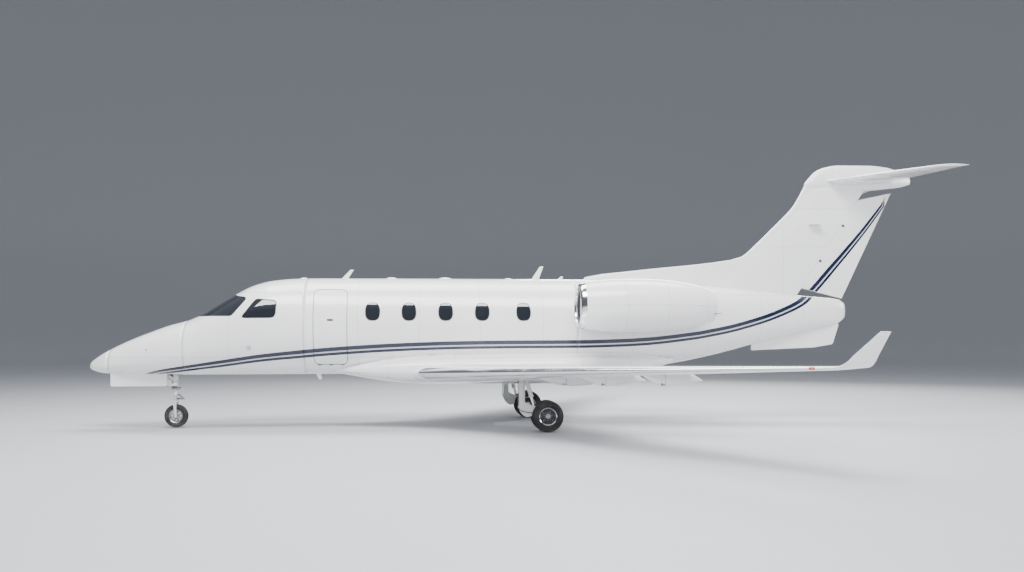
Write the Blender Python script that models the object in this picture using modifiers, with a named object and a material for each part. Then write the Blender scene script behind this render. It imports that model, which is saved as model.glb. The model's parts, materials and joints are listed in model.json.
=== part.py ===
"""Business jet at full size: twin rear engines, T-tail, swept wing with winglets, airstair door.

Metres, +Z up. The nose points to -X, the left side is at -Y, and the origin lies on the ground
midway between nose and tail. A station is a distance aft of the nose tip, so x = station - LENGTH / 2.
"""
import bpy
import bmesh
from math import cos, pi, radians, sin, tan
from mathutils import Matrix, Vector

# Driving sizes
LENGTH = 15.70
HALF_SPAN = 7.95
WALL = 0.09                # cabin wall: skin, frame and trim together
TOUCH = 0.0003             # between pieces that touch
RUN = 0.008                # between pieces that move past each other
HULL_SIDES = 32
HULL_POWER = 2.15          # 2 would be an ellipse
SIDES = {"l": -1, "r": 1}
THIN = "MANIFOLD"          # solver for thin wing-like shapes, where the exact one loses pieces

# Fuselage sections: station, top, bottom, half width, height of the widest point
HULL = [
    (0.00, 1.150, 1.105, 0.022, 1.128),
    (0.08, 1.250, 1.045, 0.110, 1.145),
    (0.27, 1.380, 1.000, 0.215, 1.175),
    (0.70, 1.597, 0.980, 0.365, 1.250),
    (1.06, 1.744, 0.972, 0.465, 1.330),
    (1.43, 1.878, 0.970, 0.555, 1.420),
    (1.75, 1.965, 0.970, 0.620, 1.500),
    (1.95, 2.050, 0.970, 0.660, 1.560),
    (2.27, 2.245, 0.970, 0.725, 1.650),
    (2.59, 2.436, 0.970, 0.780, 1.740),
    (2.93, 2.610, 0.970, 0.825, 1.810),
    (3.27, 2.700, 0.970, 0.850, 1.850),
    (3.70, 2.740, 0.970, 0.868, 1.860),
    (4.20, 2.750, 0.970, 0.870, 1.860),
    (8.60, 2.760, 0.970, 0.870, 1.865),
    (9.50, 2.755, 1.000, 0.840, 1.880),
    (10.50, 2.720, 1.100, 0.740, 1.930),
    (11.50, 2.650, 1.280, 0.580, 1.990),
    (12.50, 2.560, 1.530, 0.400, 2.080),
    (13.50, 2.465, 1.770, 0.220, 2.150),
    (14.20, 2.400, 1.930, 0.100, 2.180),
    (14.35, 2.310, 2.050, 0.050, 2.180),
]
RADOME_END = 0.37
NOSE_END = 1.75
COCKPIT_END = 3.90
CABIN_END = 8.85
TAIL_END = 14.35
TAIL_HOLLOW_END = 12.50
HULL_STATIONS = sorted({row[0] for row in HULL}
                       | {RADOME_END, NOSE_END, COCKPIT_END, CABIN_END, 10.0, 11.0})

# Belly fairing sections: station, top, bottom, half width, height of the widest point
FAIRING = [
    (4.40, 1.10, 1.000, 0.40, 1.05),
    (4.70, 1.17, 0.950, 0.61, 1.06),
    (5.10, 1.26, 0.880, 0.83, 1.06),
    (5.60, 1.34, 0.815, 0.98, 1.08),
    (6.20, 1.38, 0.780, 1.04, 1.09),
    (8.80, 1.42, 0.780, 1.04, 1.11),
    (9.50, 1.42, 0.840, 0.99, 1.14),
    (10.10, 1.38, 0.970, 0.83, 1.18),
    (10.60, 1.30, 1.120, 0.60, 1.22),
    (10.75, 1.28, 1.180, 0.50, 1.23),
]
FAIRING_POWER = 2.6

# Wing sections: distance from the centre plane, leading edge station, trailing edge station,
# height of the chord, thickness over chord, cant of the section in degrees
WING = [
    (0.55, 5.350, 8.730, 0.998, 0.115, 0),
    (1.03, 5.860, 8.820, 1.018, 0.118, 0),
    (1.90, 6.750, 9.000, 1.060, 0.125, 0),
    (3.00, 7.573, 9.220, 1.113, 0.120, 0),
    (7.10, 10.620, 11.110, 1.312, 0.105, 0),
    (7.32, 10.730, 11.130, 1.334, 0.100, 25),
    (7.48, 10.770, 11.110, 1.395, 0.095, 50),
    (7.60, 10.800, 11.090, 1.480, 0.090, 62),
    (HALF_SPAN, 10.930, 11.050, 1.745, 0.090, 66),
]
WING_SHARE = [0.0, 0.012, 0.05, 0.12, 0.25, 0.40, 0.55, 0.70, 0.85, 1.0]

# Hinged surfaces: from, to along the span, hinge as a share of the chord
AILERON = (5.05, 6.95, 0.74)
ELEVATOR = (0.24, 2.20, 0.68)
# flap name, from, to, front as a share of the chord, length its cove runs on inboard
FLAPS = [("inner", 1.105, 2.94, 0.74, 0.25), ("outer", 3.06, 4.95, 0.72, 0.0)]
FLAP_DROP = 0.20                         # flap hinge below the chord
FLAP_ORIGIN = 0.55                       # share of the hinge line where the flap's origin sits

# Hinge pins: radius, radius of the bore round them, depth in the moving and in the fixed piece
PIN_SIDES = 8
END_PIN = (0.0050, 0.0055, 0.020, 0.030)
BRACKET_PIN = (0.0080, 0.0088)

# Flap hinge fairings: flap name, distance from the centre plane
FLAP_PODS = [("inner", 2.00), ("outer", 3.16), ("outer", 4.35)]
# share of the chord (or distance aft of it where over 1), top and bottom below the chord, half width
POD_SHAPE = [(0.44, -0.030, -0.045, 0.010), (0.57, -0.025, -0.150, 0.036), (0.72, -0.015, -0.230, 0.045),
             (0.90, -0.010, -0.220, 0.040), (0.995, -0.002, -0.190, 0.028), (1.230, -0.140, -0.152, 0.004)]
POD_SIDES = 8
POD_GAP = 0.004
POD_SWING = 40                           # degrees its rear half clears below the hinge
TONGUE = (0.016, 0.014, 0.030)           # half height, half width, half length of its pin

# Rudder hinge brackets: heights of their middles
RUDDER_BRACKETS = [3.15, 3.85]

# Blade antennas: outlines as (station, height), half thickness
BLADES = {
    "blade_front": [(4.50, 2.735), (4.62, 2.735), (4.735, 2.918), (4.672, 2.918)],
    "blade_rear": [(8.08, 2.745), (8.225, 2.745), (8.320, 3.008), (8.255, 3.008)],
    "blade_small": [(8.58, 2.745), (8.67, 2.745), (8.70, 2.815), (8.655, 2.815)],
    "blade_belly": [(4.03, 0.985), (4.135, 0.985), (4.145, 0.870), (4.095, 0.870)],
}
BLADE_HALF = 0.010

# Windows in the hull's side view: outlines as (station, height)
WINDOW_STATIONS = [5.12, 5.766, 6.425, 7.085, 7.839]
WINDOW_HEIGHT = 2.123
WINDOW_HALF = (0.130, 0.166)
WINDSCREEN = [(1.80, 2.033), (2.635, 2.032), (2.878, 2.335), (2.858, 2.385), (2.680, 2.407),
              (2.585, 2.452), (2.400, 2.620), (1.80, 2.350)]
SIDE_WINDOW = [(2.815, 2.028), (3.053, 2.351), (3.384, 2.325), (3.430, 2.279), (3.422, 2.060),
               (3.370, 1.998), (2.845, 1.993)]
CENTRE_POST = 0.035
GLASS = (0.004, 0.018)     # depths of the pane's two faces below the skin

# Cabin door
DOOR = (4.069, 4.673, 1.163, 2.521)      # station from, station to, sill, head
DOOR_CORNER = 0.07
DOOR_GAP = 0.007
DOOR_HINGE = (0.574, 0.004)              # distance from the centre plane, drop below the sill
FLOOR_TOP = 1.20
FLOOR_AT_DOOR = 0.40                     # the floor stops this far out, clear of the door's inner edge
# door steps: height, distance from the centre plane of their outer and inner edges
STEPS = [(1.450, 0.725, 0.570), (1.740, 0.800, 0.640), (2.030, 0.790, 0.630), (2.310, 0.710, 0.560)]
STEP = (0.10, 0.012)                     # inset from the door's sides, half thickness

# Engines
ENGINE_Y = 1.40
ENGINE_Z = 2.215
LIP = [(8.870, 0.3290), (8.800, 0.3250), (8.752, 0.3300), (8.735, 0.3430), (8.755, 0.3680),
       (8.810, 0.3880), (8.870, 0.4000)]
COWL = [(8.8703, 0.4000), (9.020, 0.4350), (9.240, 0.4650), (9.550, 0.4820), (10.000, 0.4820),
        (10.400, 0.4550), (10.800, 0.3950), (11.100, 0.3150), (11.280, 0.2500),
        (11.280, 0.2400), (10.900, 0.3300), (9.600, 0.4200), (9.3203, 0.4200),
        (9.3203, 0.3500), (8.8703, 0.3290)]
CORE = [(9.3206, 0.0), (9.3206, 0.4197), (9.600, 0.4197), (9.640, 0.3300), (10.300, 0.3000),
        (10.900, 0.2000), (11.200, 0.0600), (11.230, 0.0)]
FAN = [(9.000, 0.0), (9.020, 0.0350), (9.090, 0.0900), (9.160, 0.1200), (9.170, 0.3390),
       (9.230, 0.3390), (9.240, 0.1200), (9.280, 0.1100), (9.280, 0.0500), (9.3203, 0.0500),
       (9.3203, 0.0)]

# Fin and rudder: lines lean aft as station = at + slope * (height - from)
HINGE = (13.460, 2.607, 0.6660)
FIN_TRAILING = (14.610, 3.092, 0.4860)
FIN_SHOULDER = (12.490, 3.430, 1.0130)
FIN_LEADING = [(2.30, 8.90), (2.80, 9.12), (2.95, 10.20), (3.076, 11.40), (3.16, 12.00),
               (3.235, 12.25), (3.43, 12.486), (3.78, 12.85), (4.18, 13.25), (4.29, 13.33),
               (4.68, 13.545)]
RUDDER_BOTTOM = ((13.40, 2.635), (14.40, 2.390))
RUDDER_TOP = ((14.50, 4.340), (15.50, 4.560))
RUDDER_NOSE = 0.059
FIN_EDGE = 0.004                         # half thickness of the trailing edge
FIN_CAP = [
    (13.52, 4.690, 4.610, 0.030, 4.650),
    (13.60, 4.780, 4.580, 0.055, 4.680),
    (13.73, 4.915, 4.560, 0.080, 4.730),
    (13.92, 5.000, 4.550, 0.110, 4.740),
    (14.20, 5.048, 4.545, 0.135, 4.740),
    (14.80, 5.055, 4.560, 0.140, 4.740),
    (15.20, 5.025, 4.600, 0.125, 4.745),
    (15.50, 4.930, 4.640, 0.085, 4.750),
    (LENGTH, 4.820, 4.700, 0.020, 4.760),
]

# Tailplane sections: distance out, leading edge, trailing edge, height, thickness over chord, cant
TAILPLANE = [
    (0.00, 13.870, 15.230, 4.730, 0.100, 0),
    (2.25, 14.970, 15.440, 4.668, 0.090, 0),
    (2.38, 15.100, 15.470, 4.664, 0.070, 0),
]

# Landing gear
NOSE_STATION = 1.515
NOSE_RADIUS = 0.212
NOSE_TYRE_WIDTH = 0.112
MAIN_STATION = 8.184
MAIN_Y = 1.427
MAIN_RADIUS = 0.275
MAIN_TYRE_WIDTH = 0.146
TWIN_OFFSET = 0.118
AXLE = 0.0235
WHEEL_SIDES = 24
NOSE_BAY = (0.42, 1.66, 0.145, 1.30)    # station from, to, half width, roof
# Torque link arms as (aft of the leg, height), half width
TORQUE_LINK = {"upper": [(0.012, 0.650), (0.008, 0.612), (0.150, 0.512), (0.168, 0.529)],
               "lower": [(0.012, 0.546), (0.008, 0.513), (0.148, 0.5105), (0.1665, 0.5305)]}
TORQUE_LINK_HALF = 0.0155

# Colours: red, green, blue, roughness, metallic
FINISHES = {
    "white_paint": (0.86, 0.86, 0.87, 0.22, 0.0),
    "polished_metal": (0.78, 0.79, 0.80, 0.18, 1.0),
    "dark_metal": (0.20, 0.20, 0.21, 0.45, 0.9),
    "fan_metal": (0.40, 0.41, 0.43, 0.35, 1.0),
    "window_glass": (0.04, 0.05, 0.06, 0.05, 0.0),
    "wheel_metal": (0.62, 0.63, 0.64, 0.35, 1.0),
    "tyre_rubber": (0.03, 0.03, 0.03, 0.80, 0.0),
    "leg_paint": (0.74, 0.75, 0.76, 0.40, 0.2),
    "cabin_trim": (0.60, 0.55, 0.47, 0.70, 0.0),
    "seat_leather": (0.66, 0.58, 0.46, 0.60, 0.0),
    "panel_plastic": (0.06, 0.06, 0.07, 0.60, 0.0),
}


def x_of(station):
    return station - LENGTH / 2


def make_collection(name):
    collection = bpy.data.collections.new(name)
    bpy.context.scene.collection.children.link(collection)
    return collection


def clear_scene():
    for thing in list(bpy.data.objects):
        bpy.data.objects.remove(thing, do_unlink=True)


def make_finish(name):
    red, green, blue, roughness, metallic = FINISHES[name]
    finish = bpy.data.materials.new(name)
    finish.use_nodes = True
    shader = finish.node_tree.nodes["Principled BSDF"]
    shader.inputs["Base Color"].default_value = (red, green, blue, 1.0)
    shader.inputs["Roughness"].default_value = roughness
    shader.inputs["Metallic"].default_value = metallic
    return finish


clear_scene()
PARTS = make_collection("business_jet")
CUTTERS = make_collection("cutters")
MATERIALS = {name: make_finish(name) for name in FINISHES}


def place(name, form, finish):
    """Turn a bmesh into an object: a part when it has a finish, else a hidden cutter."""
    bmesh.ops.recalc_face_normals(form, faces=form.faces)
    mesh = bpy.data.meshes.new(name)
    form.to_mesh(mesh)
    form.free()
    thing = bpy.data.objects.new(name, mesh)
    if finish:
        PARTS.objects.link(thing)
        mesh.materials.append(MATERIALS[finish])
    else:
        CUTTERS.objects.link(thing)
        thing.hide_render = True
        thing.display_type = "WIRE"
    return thing


def smooth(thing, degrees=35):
    thing.data.shade_smooth()
    thing.data.set_sharp_from_angle(angle=radians(degrees))
    return thing


def set_origin(thing, point):
    point = Vector(point)
    thing.data.transform(Matrix.Translation(-point))
    thing.location = point
    return thing


def loft(name, rings, finish=None):
    """Skin closed rings of equal count, with flat caps on both ends."""
    form = bmesh.new()
    rows = [[form.verts.new(point) for point in ring] for ring in rings]
    count = len(rows[0])
    for low, high in zip(rows, rows[1:]):
        for i in range(count):
            form.faces.new((low[i], low[(i + 1) % count], high[(i + 1) % count], high[i]))
    form.faces.new(rows[0])
    form.faces.new(rows[-1])
    bmesh.ops.triangulate(form, faces=form.faces, quad_method="FIXED")
    return place(name, form, finish)


def prism(name, outline, axis, low, high, finish=None):
    """Extrude a flat outline along Y (outline in x, z), X (in y, z) or Z (in x, y)."""
    def at(point, depth):
        a, b = point
        return {"X": (depth, a, b), "Y": (a, depth, b), "Z": (a, b, depth)}[axis]
    return loft(name, [[at(p, low) for p in outline], [at(p, high) for p in outline]], finish)


def box(name, x_range, y_range, z_range, finish=None):
    form = bmesh.new()
    bmesh.ops.create_cube(form, size=1.0)
    lows = Vector((x_range[0], y_range[0], z_range[0]))
    highs = Vector((x_range[1], y_range[1], z_range[1]))
    sizes = Matrix.Diagonal(highs - lows).to_4x4()
    bmesh.ops.transform(form, matrix=Matrix.Translation((lows + highs) / 2) @ sizes, verts=form.verts)
    return place(name, form, finish)


def rod(name, start, end, radius, finish=None, end_radius=None, sides=16):
    """A cylinder or cone between two points."""
    start, end = Vector(start), Vector(end)
    form = bmesh.new()
    bmesh.ops.create_cone(form, cap_ends=True, segments=sides, radius1=radius,
                          radius2=radius if end_radius is None else end_radius,
                          depth=(end - start).length)
    turn = Vector((0, 0, 1)).rotation_difference(end - start).to_matrix().to_4x4()
    bmesh.ops.transform(form, matrix=Matrix.Translation((start + end) / 2) @ turn, verts=form.verts)
    return place(name, form, finish)


def turned(name, profile, centre, axis, finish=None, steps=28, grow=0.0):
    """Screw a profile of (distance along the axis, radius) round an axis through centre."""
    mesh = bpy.data.meshes.new(name)
    closed = profile[0][1] > 0 and profile[-1][1] > 0
    points = [(radius + (grow if radius else 0.0), 0.0, -along) for along, radius in profile]
    edges = [(i, i + 1) for i in range(len(points) - 1)]
    if closed:
        edges.append((len(points) - 1, 0))
    mesh.from_pydata(points, edges, [])
    thing = bpy.data.objects.new(name, mesh)
    direction = Vector((-1, 0, 0)) if axis == "X" else Vector((0, -1, 0))
    turn = Vector((0, 0, 1)).rotation_difference(direction).to_matrix().to_4x4()
    thing.matrix_world = Matrix.Translation(centre) @ turn
    if finish:
        PARTS.objects.link(thing)
        mesh.materials.append(MATERIALS[finish])
    else:
        CUTTERS.objects.link(thing)
        thing.hide_render = True
        thing.display_type = "WIRE"
    screw = thing.modifiers.new("turn", "SCREW")
    screw.steps = steps
    screw.render_steps = steps
    screw.use_merge_vertices = True
    screw.merge_threshold = 0.00005
    screw.use_smooth_shade = True
    return thing


def boolean(thing, tool, operation, solver="EXACT"):
    step = thing.modifiers.new(tool.name, "BOOLEAN")
    step.operation = operation
    step.solver = solver
    step.object = tool


def cut(thing, *tools, solver="EXACT"):
    for tool in tools:
        boolean(thing, tool, "DIFFERENCE", solver)
    return thing


def keep(thing, tool, solver="EXACT"):
    boolean(thing, tool, "INTERSECT", solver)
    return thing


def join(thing, *tools, solver="EXACT"):
    for tool in tools:
        boolean(thing, tool, "UNION", solver)
    return thing


def end_pins(fixed, moving, start, end, name):
    """Pins at both ends of a hinge line: each stands on the fixed piece and turns in the moving one."""
    radius, bore, inside, root = END_PIN
    along = (end - start).normalized()
    for number, (point, inward) in enumerate(((start, along), (end, -along)), start=1):
        reach = RUN + inside
        pin = rod(f"{name}_pin_{number}", point - inward * root, point + inward * reach, radius,
                  sides=PIN_SIDES)
        join(fixed, pin, solver=THIN)
        cut(moving, rod(f"{name}_bore_{number}", point, point + inward * (reach + 0.002), bore,
                        sides=PIN_SIDES), solver=THIN)


def blend(table, station):
    """Read a table of sections at a station, smooth and without overshoot."""
    rows = table
    index = max(i for i in range(len(rows) - 1) if rows[i][0] <= station or i == 0)
    index = min(index, len(rows) - 2)
    here, there = rows[index], rows[index + 1]
    span = there[0] - here[0]
    t = min(max((station - here[0]) / span, 0.0), 1.0)

    def slope(i, column):
        if i == 0 or i == len(rows) - 1:
            j = min(i, len(rows) - 2)
            return (rows[j + 1][column] - rows[j][column]) / (rows[j + 1][0] - rows[j][0])
        before = (rows[i][column] - rows[i - 1][column]) / (rows[i][0] - rows[i - 1][0])
        after = (rows[i + 1][column] - rows[i][column]) / (rows[i + 1][0] - rows[i][0])
        return 0.0 if before * after <= 0 else 2 * before * after / (before + after)

    values = []
    for column in range(1, len(here)):
        m0, m1 = slope(index, column) * span, slope(index + 1, column) * span
        a, b = here[column], there[column]
        values.append(a * (2 * t ** 3 - 3 * t ** 2 + 1) + m0 * (t ** 3 - 2 * t ** 2 + t)
                      + b * (3 * t ** 2 - 2 * t ** 3) + m1 * (t ** 3 - t ** 2))
    return values


def section_ring(station, values, inset, power, count):
    top, bottom, half, middle = values
    ring = []
    for i in range(count):
        angle = 2 * pi * i / count
        across, up = cos(angle), sin(angle)
        reach = (top - middle if up >= 0 else middle - bottom) - inset
        y = (half - inset) * abs(across) ** (2 / power) * (1 if across >= 0 else -1)
        z = middle + reach * abs(up) ** (2 / power) * (1 if up >= 0 else -1)
        ring.append((x_of(station), y, z))
    return ring


def hull_values(station):
    """The hull is straight between its stations, so that every piece cut from it has the same faces."""
    low = max(s for s in HULL_STATIONS[:-1] if s <= station or s == 0.0)
    high = HULL_STATIONS[HULL_STATIONS.index(low) + 1]
    share = (station - low) / (high - low)
    return [a + share * (b - a) for a, b in zip(blend(HULL, low), blend(HULL, high))]


def hull(name, start, end, inset=0.0, finish=None):
    """A closed length of the fuselage, its skin moved inwards by inset."""
    inner = [s for s in HULL_STATIONS if start + 0.01 < s < end - 0.01]
    rings = [section_ring(s, hull_values(s), inset, HULL_POWER, HULL_SIDES) for s in [start, *inner, end]]
    return loft(name, rings, finish)


def fairing(name, inset=0.0, finish=None):
    rings = [section_ring(row[0], row[1:], inset, FAIRING_POWER, HULL_SIDES) for row in FAIRING]
    return loft(name, rings, finish)


def thickness(share):
    """Half thickness of a wing section at a share of its chord, over its full thickness."""
    return 5 * (0.2969 * share ** 0.5 - 0.1260 * share - 0.3516 * share ** 2
                + 0.2843 * share ** 3 - 0.1036 * share ** 4)


def wing_ring(row, side, swell=0.0):
    out, leading, trailing, height, ratio, cant = row
    chord = trailing - leading
    normal = Vector((0, -side * sin(radians(cant)), cos(radians(cant))))
    ring = []
    upper = [(share, 1) for share in reversed(WING_SHARE)]
    lower = [(share, -1) for share in WING_SHARE[1:]]
    for share, face in upper + lower:
        depth = thickness(share) * ratio * chord
        depth = max(depth, 0.002 if share else 0.0) + (swell if share else 0.0)
        nose = -swell if share == 0 else swell if share == 1 else 0.0
        point = Vector((x_of(leading + share * chord + nose), side * out, height))
        ring.append(point + normal * depth * face)
    return ring


def lifting_surface(name, table, side, swell=0.0, finish=None):
    return loft(name, [wing_ring(row, side, swell) for row in table], finish)


def hinge_frame(start, end):
    """Frame on a hinge line: X along it, Y aft of it, Z up from it."""
    start, end = Vector(start), Vector(end)
    along = (end - start).normalized()
    aft = (Vector((1, 0, 0)) - along * along.x).normalized()
    up = along.cross(aft)
    if up.z < 0 and abs(up.z) > abs(up.y):
        up = -up
    turn = Matrix((along, aft, up)).transposed().to_4x4()
    return Matrix.Translation(start) @ turn, (end - start).length


def round_nose(radius, depth, height):
    """Section of a surface behind its hinge: a round nose, then a long box aft."""
    arc = [(radius * cos(a), radius * sin(a)) for a in
           [radians(120 + 15 * i) for i in range(9)]]
    lead = radius * cos(radians(120))
    return [(depth, height), (lead, height), *arc, (lead, -height), (depth, -height)]


def plain_nose(radius, depth, height):
    arc = [(radius * cos(a), radius * sin(a)) for a in
           [radians(90 + 18 * i) for i in range(11)]]
    return [(depth, height), (0.0, height), *arc, (0.0, -height), (depth, -height)]


def hinged_region(name, start, end, radii, nose, depth=1.2, height=0.4, streamwise=False, extra=0.0):
    """The space a hinged surface fills, between end faces square to its hinge line.

    A streamwise region has its first end face along the flow instead. An extra length goes before
    the first end face.
    """
    frame, length = hinge_frame(start, end)
    direction = (Vector(end) - Vector(start)).normalized()
    rings = []
    for along, radius in ((-extra, radii[0]), (length, radii[1])):
        ring = [frame @ Vector((along, a, b)) for a, b in nose(radius, depth, height)]
        if streamwise and along <= 0.0:
            ring = [point + direction * ((start[1] - point.y) / direction.y) for point in ring]
        rings.append(ring)
    return loft(name, rings)


def shorten(start, end, gap):
    start, end = Vector(start), Vector(end)
    step = (end - start).normalized() * gap
    return start + step, end - step


def surface_point(table, side, out, share):
    """Point on a lifting surface's chord, and the half thickness of the section there."""
    low, high = next((a, b) for a, b in zip(table, table[1:]) if a[0] <= out <= b[0])
    t = (out - low[0]) / (high[0] - low[0])
    leading, trailing, height, ratio = (low[i] + t * (high[i] - low[i]) for i in (1, 2, 3, 4))
    chord = trailing - leading
    return Vector((x_of(leading + share * chord), side * out, height)), thickness(share) * ratio * chord


def rounded(x_range, z_range, corner, steps=3):
    """A rectangle with round corners."""
    points = []
    corners = ((x_range[1], z_range[1], 0), (x_range[0], z_range[1], 90),
               (x_range[0], z_range[0], 180), (x_range[1], z_range[0], 270))
    for x, z, turn in corners:
        cx = x - corner if turn in (0, 270) else x + corner
        cz = z - corner if turn in (0, 90) else z + corner
        for i in range(steps + 1):
            angle = radians(turn + 90 * i / steps)
            points.append((cx + corner * cos(angle), cz + corner * sin(angle)))
    return points


def oval(x, z, half_x, half_z, count=12, power=2.6):
    points = []
    for i in range(count):
        angle = 2 * pi * (i + 0.5) / count
        a, b = cos(angle), sin(angle)
        points.append((x + half_x * abs(a) ** (2 / power) * (1 if a >= 0 else -1),
                       z + half_z * abs(b) ** (2 / power) * (1 if b >= 0 else -1)))
    return points


def shrink(outline, amount):
    """Move an outline inwards by an amount, corner by corner."""
    points = [Vector(p) for p in outline]
    area = sum(a.x * b.y - b.x * a.y for a, b in zip(points, points[1:] + points[:1]))
    turn = 1 if area > 0 else -1
    result = []
    for before, here, after in zip(points[-1:] + points[:-1], points, points[1:] + points[:1]):
        one, two = (here - before).normalized(), (after - here).normalized()
        inward_one = Vector((-one.y, one.x)) * turn
        inward_two = Vector((-two.y, two.x)) * turn
        middle = (inward_one + inward_two).normalized()
        result.append(tuple(here + middle * amount / max(middle.dot(inward_one), 0.3)))
    return result


def stations(outline):
    return [(x_of(s), z) for s, z in outline]


def side_cutter(name, outline, side, near=0.0, far=1.3):
    low, high = sorted((side * near, side * far))
    return prism(name, stations(outline), "Y", low, high)


# Fuselage

def make_nose():
    radome = hull("radome", 0.0, RADOME_END - TOUCH, finish="white_paint")
    smooth(radome)
    nose = hull("nose_section", RADOME_END, NOSE_END - TOUCH, finish="white_paint")
    start, end, half, roof = NOSE_BAY
    cut(nose, box("nose_bay", (x_of(start), x_of(end)), (-half, half), (0.8, roof)))
    smooth(nose)


def make_cockpit():
    shell = hull("cockpit_shell", NOSE_END, COCKPIT_END - TOUCH, finish="white_paint")
    cut(shell, hull("cockpit_room", NOSE_END - 0.02, COCKPIT_END + 0.02, inset=WALL))
    for tag, side in SIDES.items():
        for kind, outline, near in (("windscreen", WINDSCREEN, CENTRE_POST),
                                    ("cockpit_window", SIDE_WINDOW, 0.30)):
            opening = side_cutter(f"{kind}_opening_{tag}", outline, side, near)
            cut(shell, opening)
            pane = hull(f"{kind}_{tag}", NOSE_END, COCKPIT_END - TOUCH, inset=GLASS[0],
                        finish="window_glass")
            keep(pane, side_cutter(f"{kind}_pane_{tag}", shrink(outline, TOUCH * 2), side,
                                   near + TOUCH * 2, 1.25))
            cut(pane, hull(f"{kind}_back_{tag}", NOSE_END - 0.02, COCKPIT_END + 0.02, inset=GLASS[1]))
            smooth(pane)
    smooth(shell)


def make_cabin():
    shell = hull("cabin_shell", COCKPIT_END, CABIN_END - TOUCH, finish="white_paint")
    cut(shell, hull("cabin_room", COCKPIT_END - 0.2, CABIN_END + 0.2, inset=WALL))
    for number, station in enumerate(WINDOW_STATIONS, start=1):
        outline = stations(oval(station, WINDOW_HEIGHT, *WINDOW_HALF))
        cut(shell, prism(f"cabin_window_{number}", outline, "Y", -1.2, 1.2))
    start, end, sill, head = DOOR
    outline = rounded((start, end), (sill, head), DOOR_CORNER)
    cut(shell, side_cutter("door_opening", outline, SIDES["l"], 0.2))
    for name, blade in BLADES.items():
        join(shell, prism(name, stations(blade), "Y", -BLADE_HALF, BLADE_HALF))
    smooth(shell)
    door = hull("cabin_door", COCKPIT_END, CABIN_END - TOUCH, finish="white_paint")
    keep(door, side_cutter("door_outline", shrink(outline, DOOR_GAP), SIDES["l"], 0.2, 1.25))
    cut(door, hull("door_back", COCKPIT_END - 0.2, CABIN_END + 0.2, inset=WALL))
    inset, half = STEP
    for number, (height, outer, inner) in enumerate(STEPS, start=1):
        join(door, box(f"door_step_{number}", (x_of(start + inset), x_of(end - inset)), (-outer, -inner),
                       (height - half, height + half)))
    smooth(door)
    set_origin(door, door_axis())
    bulkhead = hull("aft_bulkhead", CABIN_END - 0.05, CABIN_END - 0.002, inset=WALL + TOUCH,
                    finish="cabin_trim")
    smooth(bulkhead)


def door_axis():
    return Vector((x_of((DOOR[0] + DOOR[1]) / 2), -DOOR_HINGE[0], DOOR[2] - DOOR_HINGE[1]))


def make_tail_cone():
    cone = hull("aft_fuselage", CABIN_END, TAIL_END, finish="white_paint")
    cut(cone, hull("aft_room", CABIN_END - 0.25, TAIL_HOLLOW_END, inset=0.06))
    smooth(cone)


def make_belly():
    body = fairing("belly_fairing", finish="white_paint")
    cut(body, hull("belly_clearance", COCKPIT_END, 11.0, inset=-TOUCH))
    smooth(body)


def make_interior():
    floor = hull("cabin_floor", 1.95, CABIN_END - 0.0505, inset=WALL + TOUCH * 2, finish="cabin_trim")
    cut(floor, box("above_floor", (x_of(1.0), x_of(9.5)), (-1.2, 1.2), (FLOOR_TOP, 3.0)))
    door_from, door_to, sill, _ = DOOR
    cut(floor, box("door_swing", (x_of(door_from - 0.01), x_of(door_to + 0.01)), (-1.2, -FLOOR_AT_DOOR),
                   (sill - 0.03, 3.0)))
    panel = hull("instrument_panel", 2.27, 2.59, inset=WALL + TOUCH * 2, finish="panel_plastic")
    keep(panel, box("panel_room", (x_of(2.28), x_of(2.52)), (-1.2, 1.2), (1.50, 1.93)))
    # station of the seat's front edge, distance from the centre plane, facing
    seats = [("pilot_seat", 2.86, 0.33, -1, 0.42), ("cabin_seat_front", 5.02, 0.45, 1, 0.46),
             ("cabin_seat_rear", 6.72, 0.45, -1, 0.46)]
    for name, station, out, facing, width in seats:
        for tag, side in SIDES.items():
            make_seat(f"{name}_{tag}", station, side * out, facing, width)


def make_seat(name, station, y, facing, width):
    """A seat seen from the side: foot, cushion and leaning back in one outline."""
    profile = [(0.10, 0.0), (0.40, 0.0), (0.42, 0.24), (0.58, 0.26), (0.72, 0.84), (0.62, 0.88),
               (0.46, 0.42), (0.02, 0.46), (0.0, 0.26), (0.08, 0.24)]
    base = station if facing < 0 else station + 0.62
    outline = [(x_of(base - facing * along), FLOOR_TOP + TOUCH * 2 + up) for along, up in profile]
    seat = prism(name, outline, "Y", y - width / 2, y + width / 2, "seat_leather")
    keep(seat, hull(f"{name}_room", NOSE_END, CABIN_END, inset=WALL + 0.004))


# Wings

def make_wing(tag, side):
    wing = lifting_surface(f"wing_{tag}", WING, side, finish="white_paint")
    cut(wing, fairing(f"wing_root_{tag}", inset=-TOUCH), solver=THIN)
    make_flaps(wing, tag, side)
    make_aileron(wing, tag, side)
    smooth(wing)


def make_aileron(wing, tag, side):
    start, r0 = surface_point(WING, side, AILERON[0], AILERON[2])
    end, r1 = surface_point(WING, side, AILERON[1], AILERON[2])
    cut(wing, hinged_region(f"aileron_cove_{tag}", start, end, (r0 + RUN, r1 + RUN), round_nose),
        solver=THIN)
    aileron = lifting_surface(f"aileron_{tag}", WING, side, finish="white_paint")
    low, high = shorten(start, end, RUN)
    keep(aileron, hinged_region(f"aileron_form_{tag}", low, high, (r0 * 0.98, r1 * 0.98), plain_nose,
                                1.1, 0.3), solver=THIN)
    end_pins(wing, aileron, start, end, f"aileron_{tag}")
    smooth(aileron)
    set_origin(aileron, (start + end) / 2)


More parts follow.
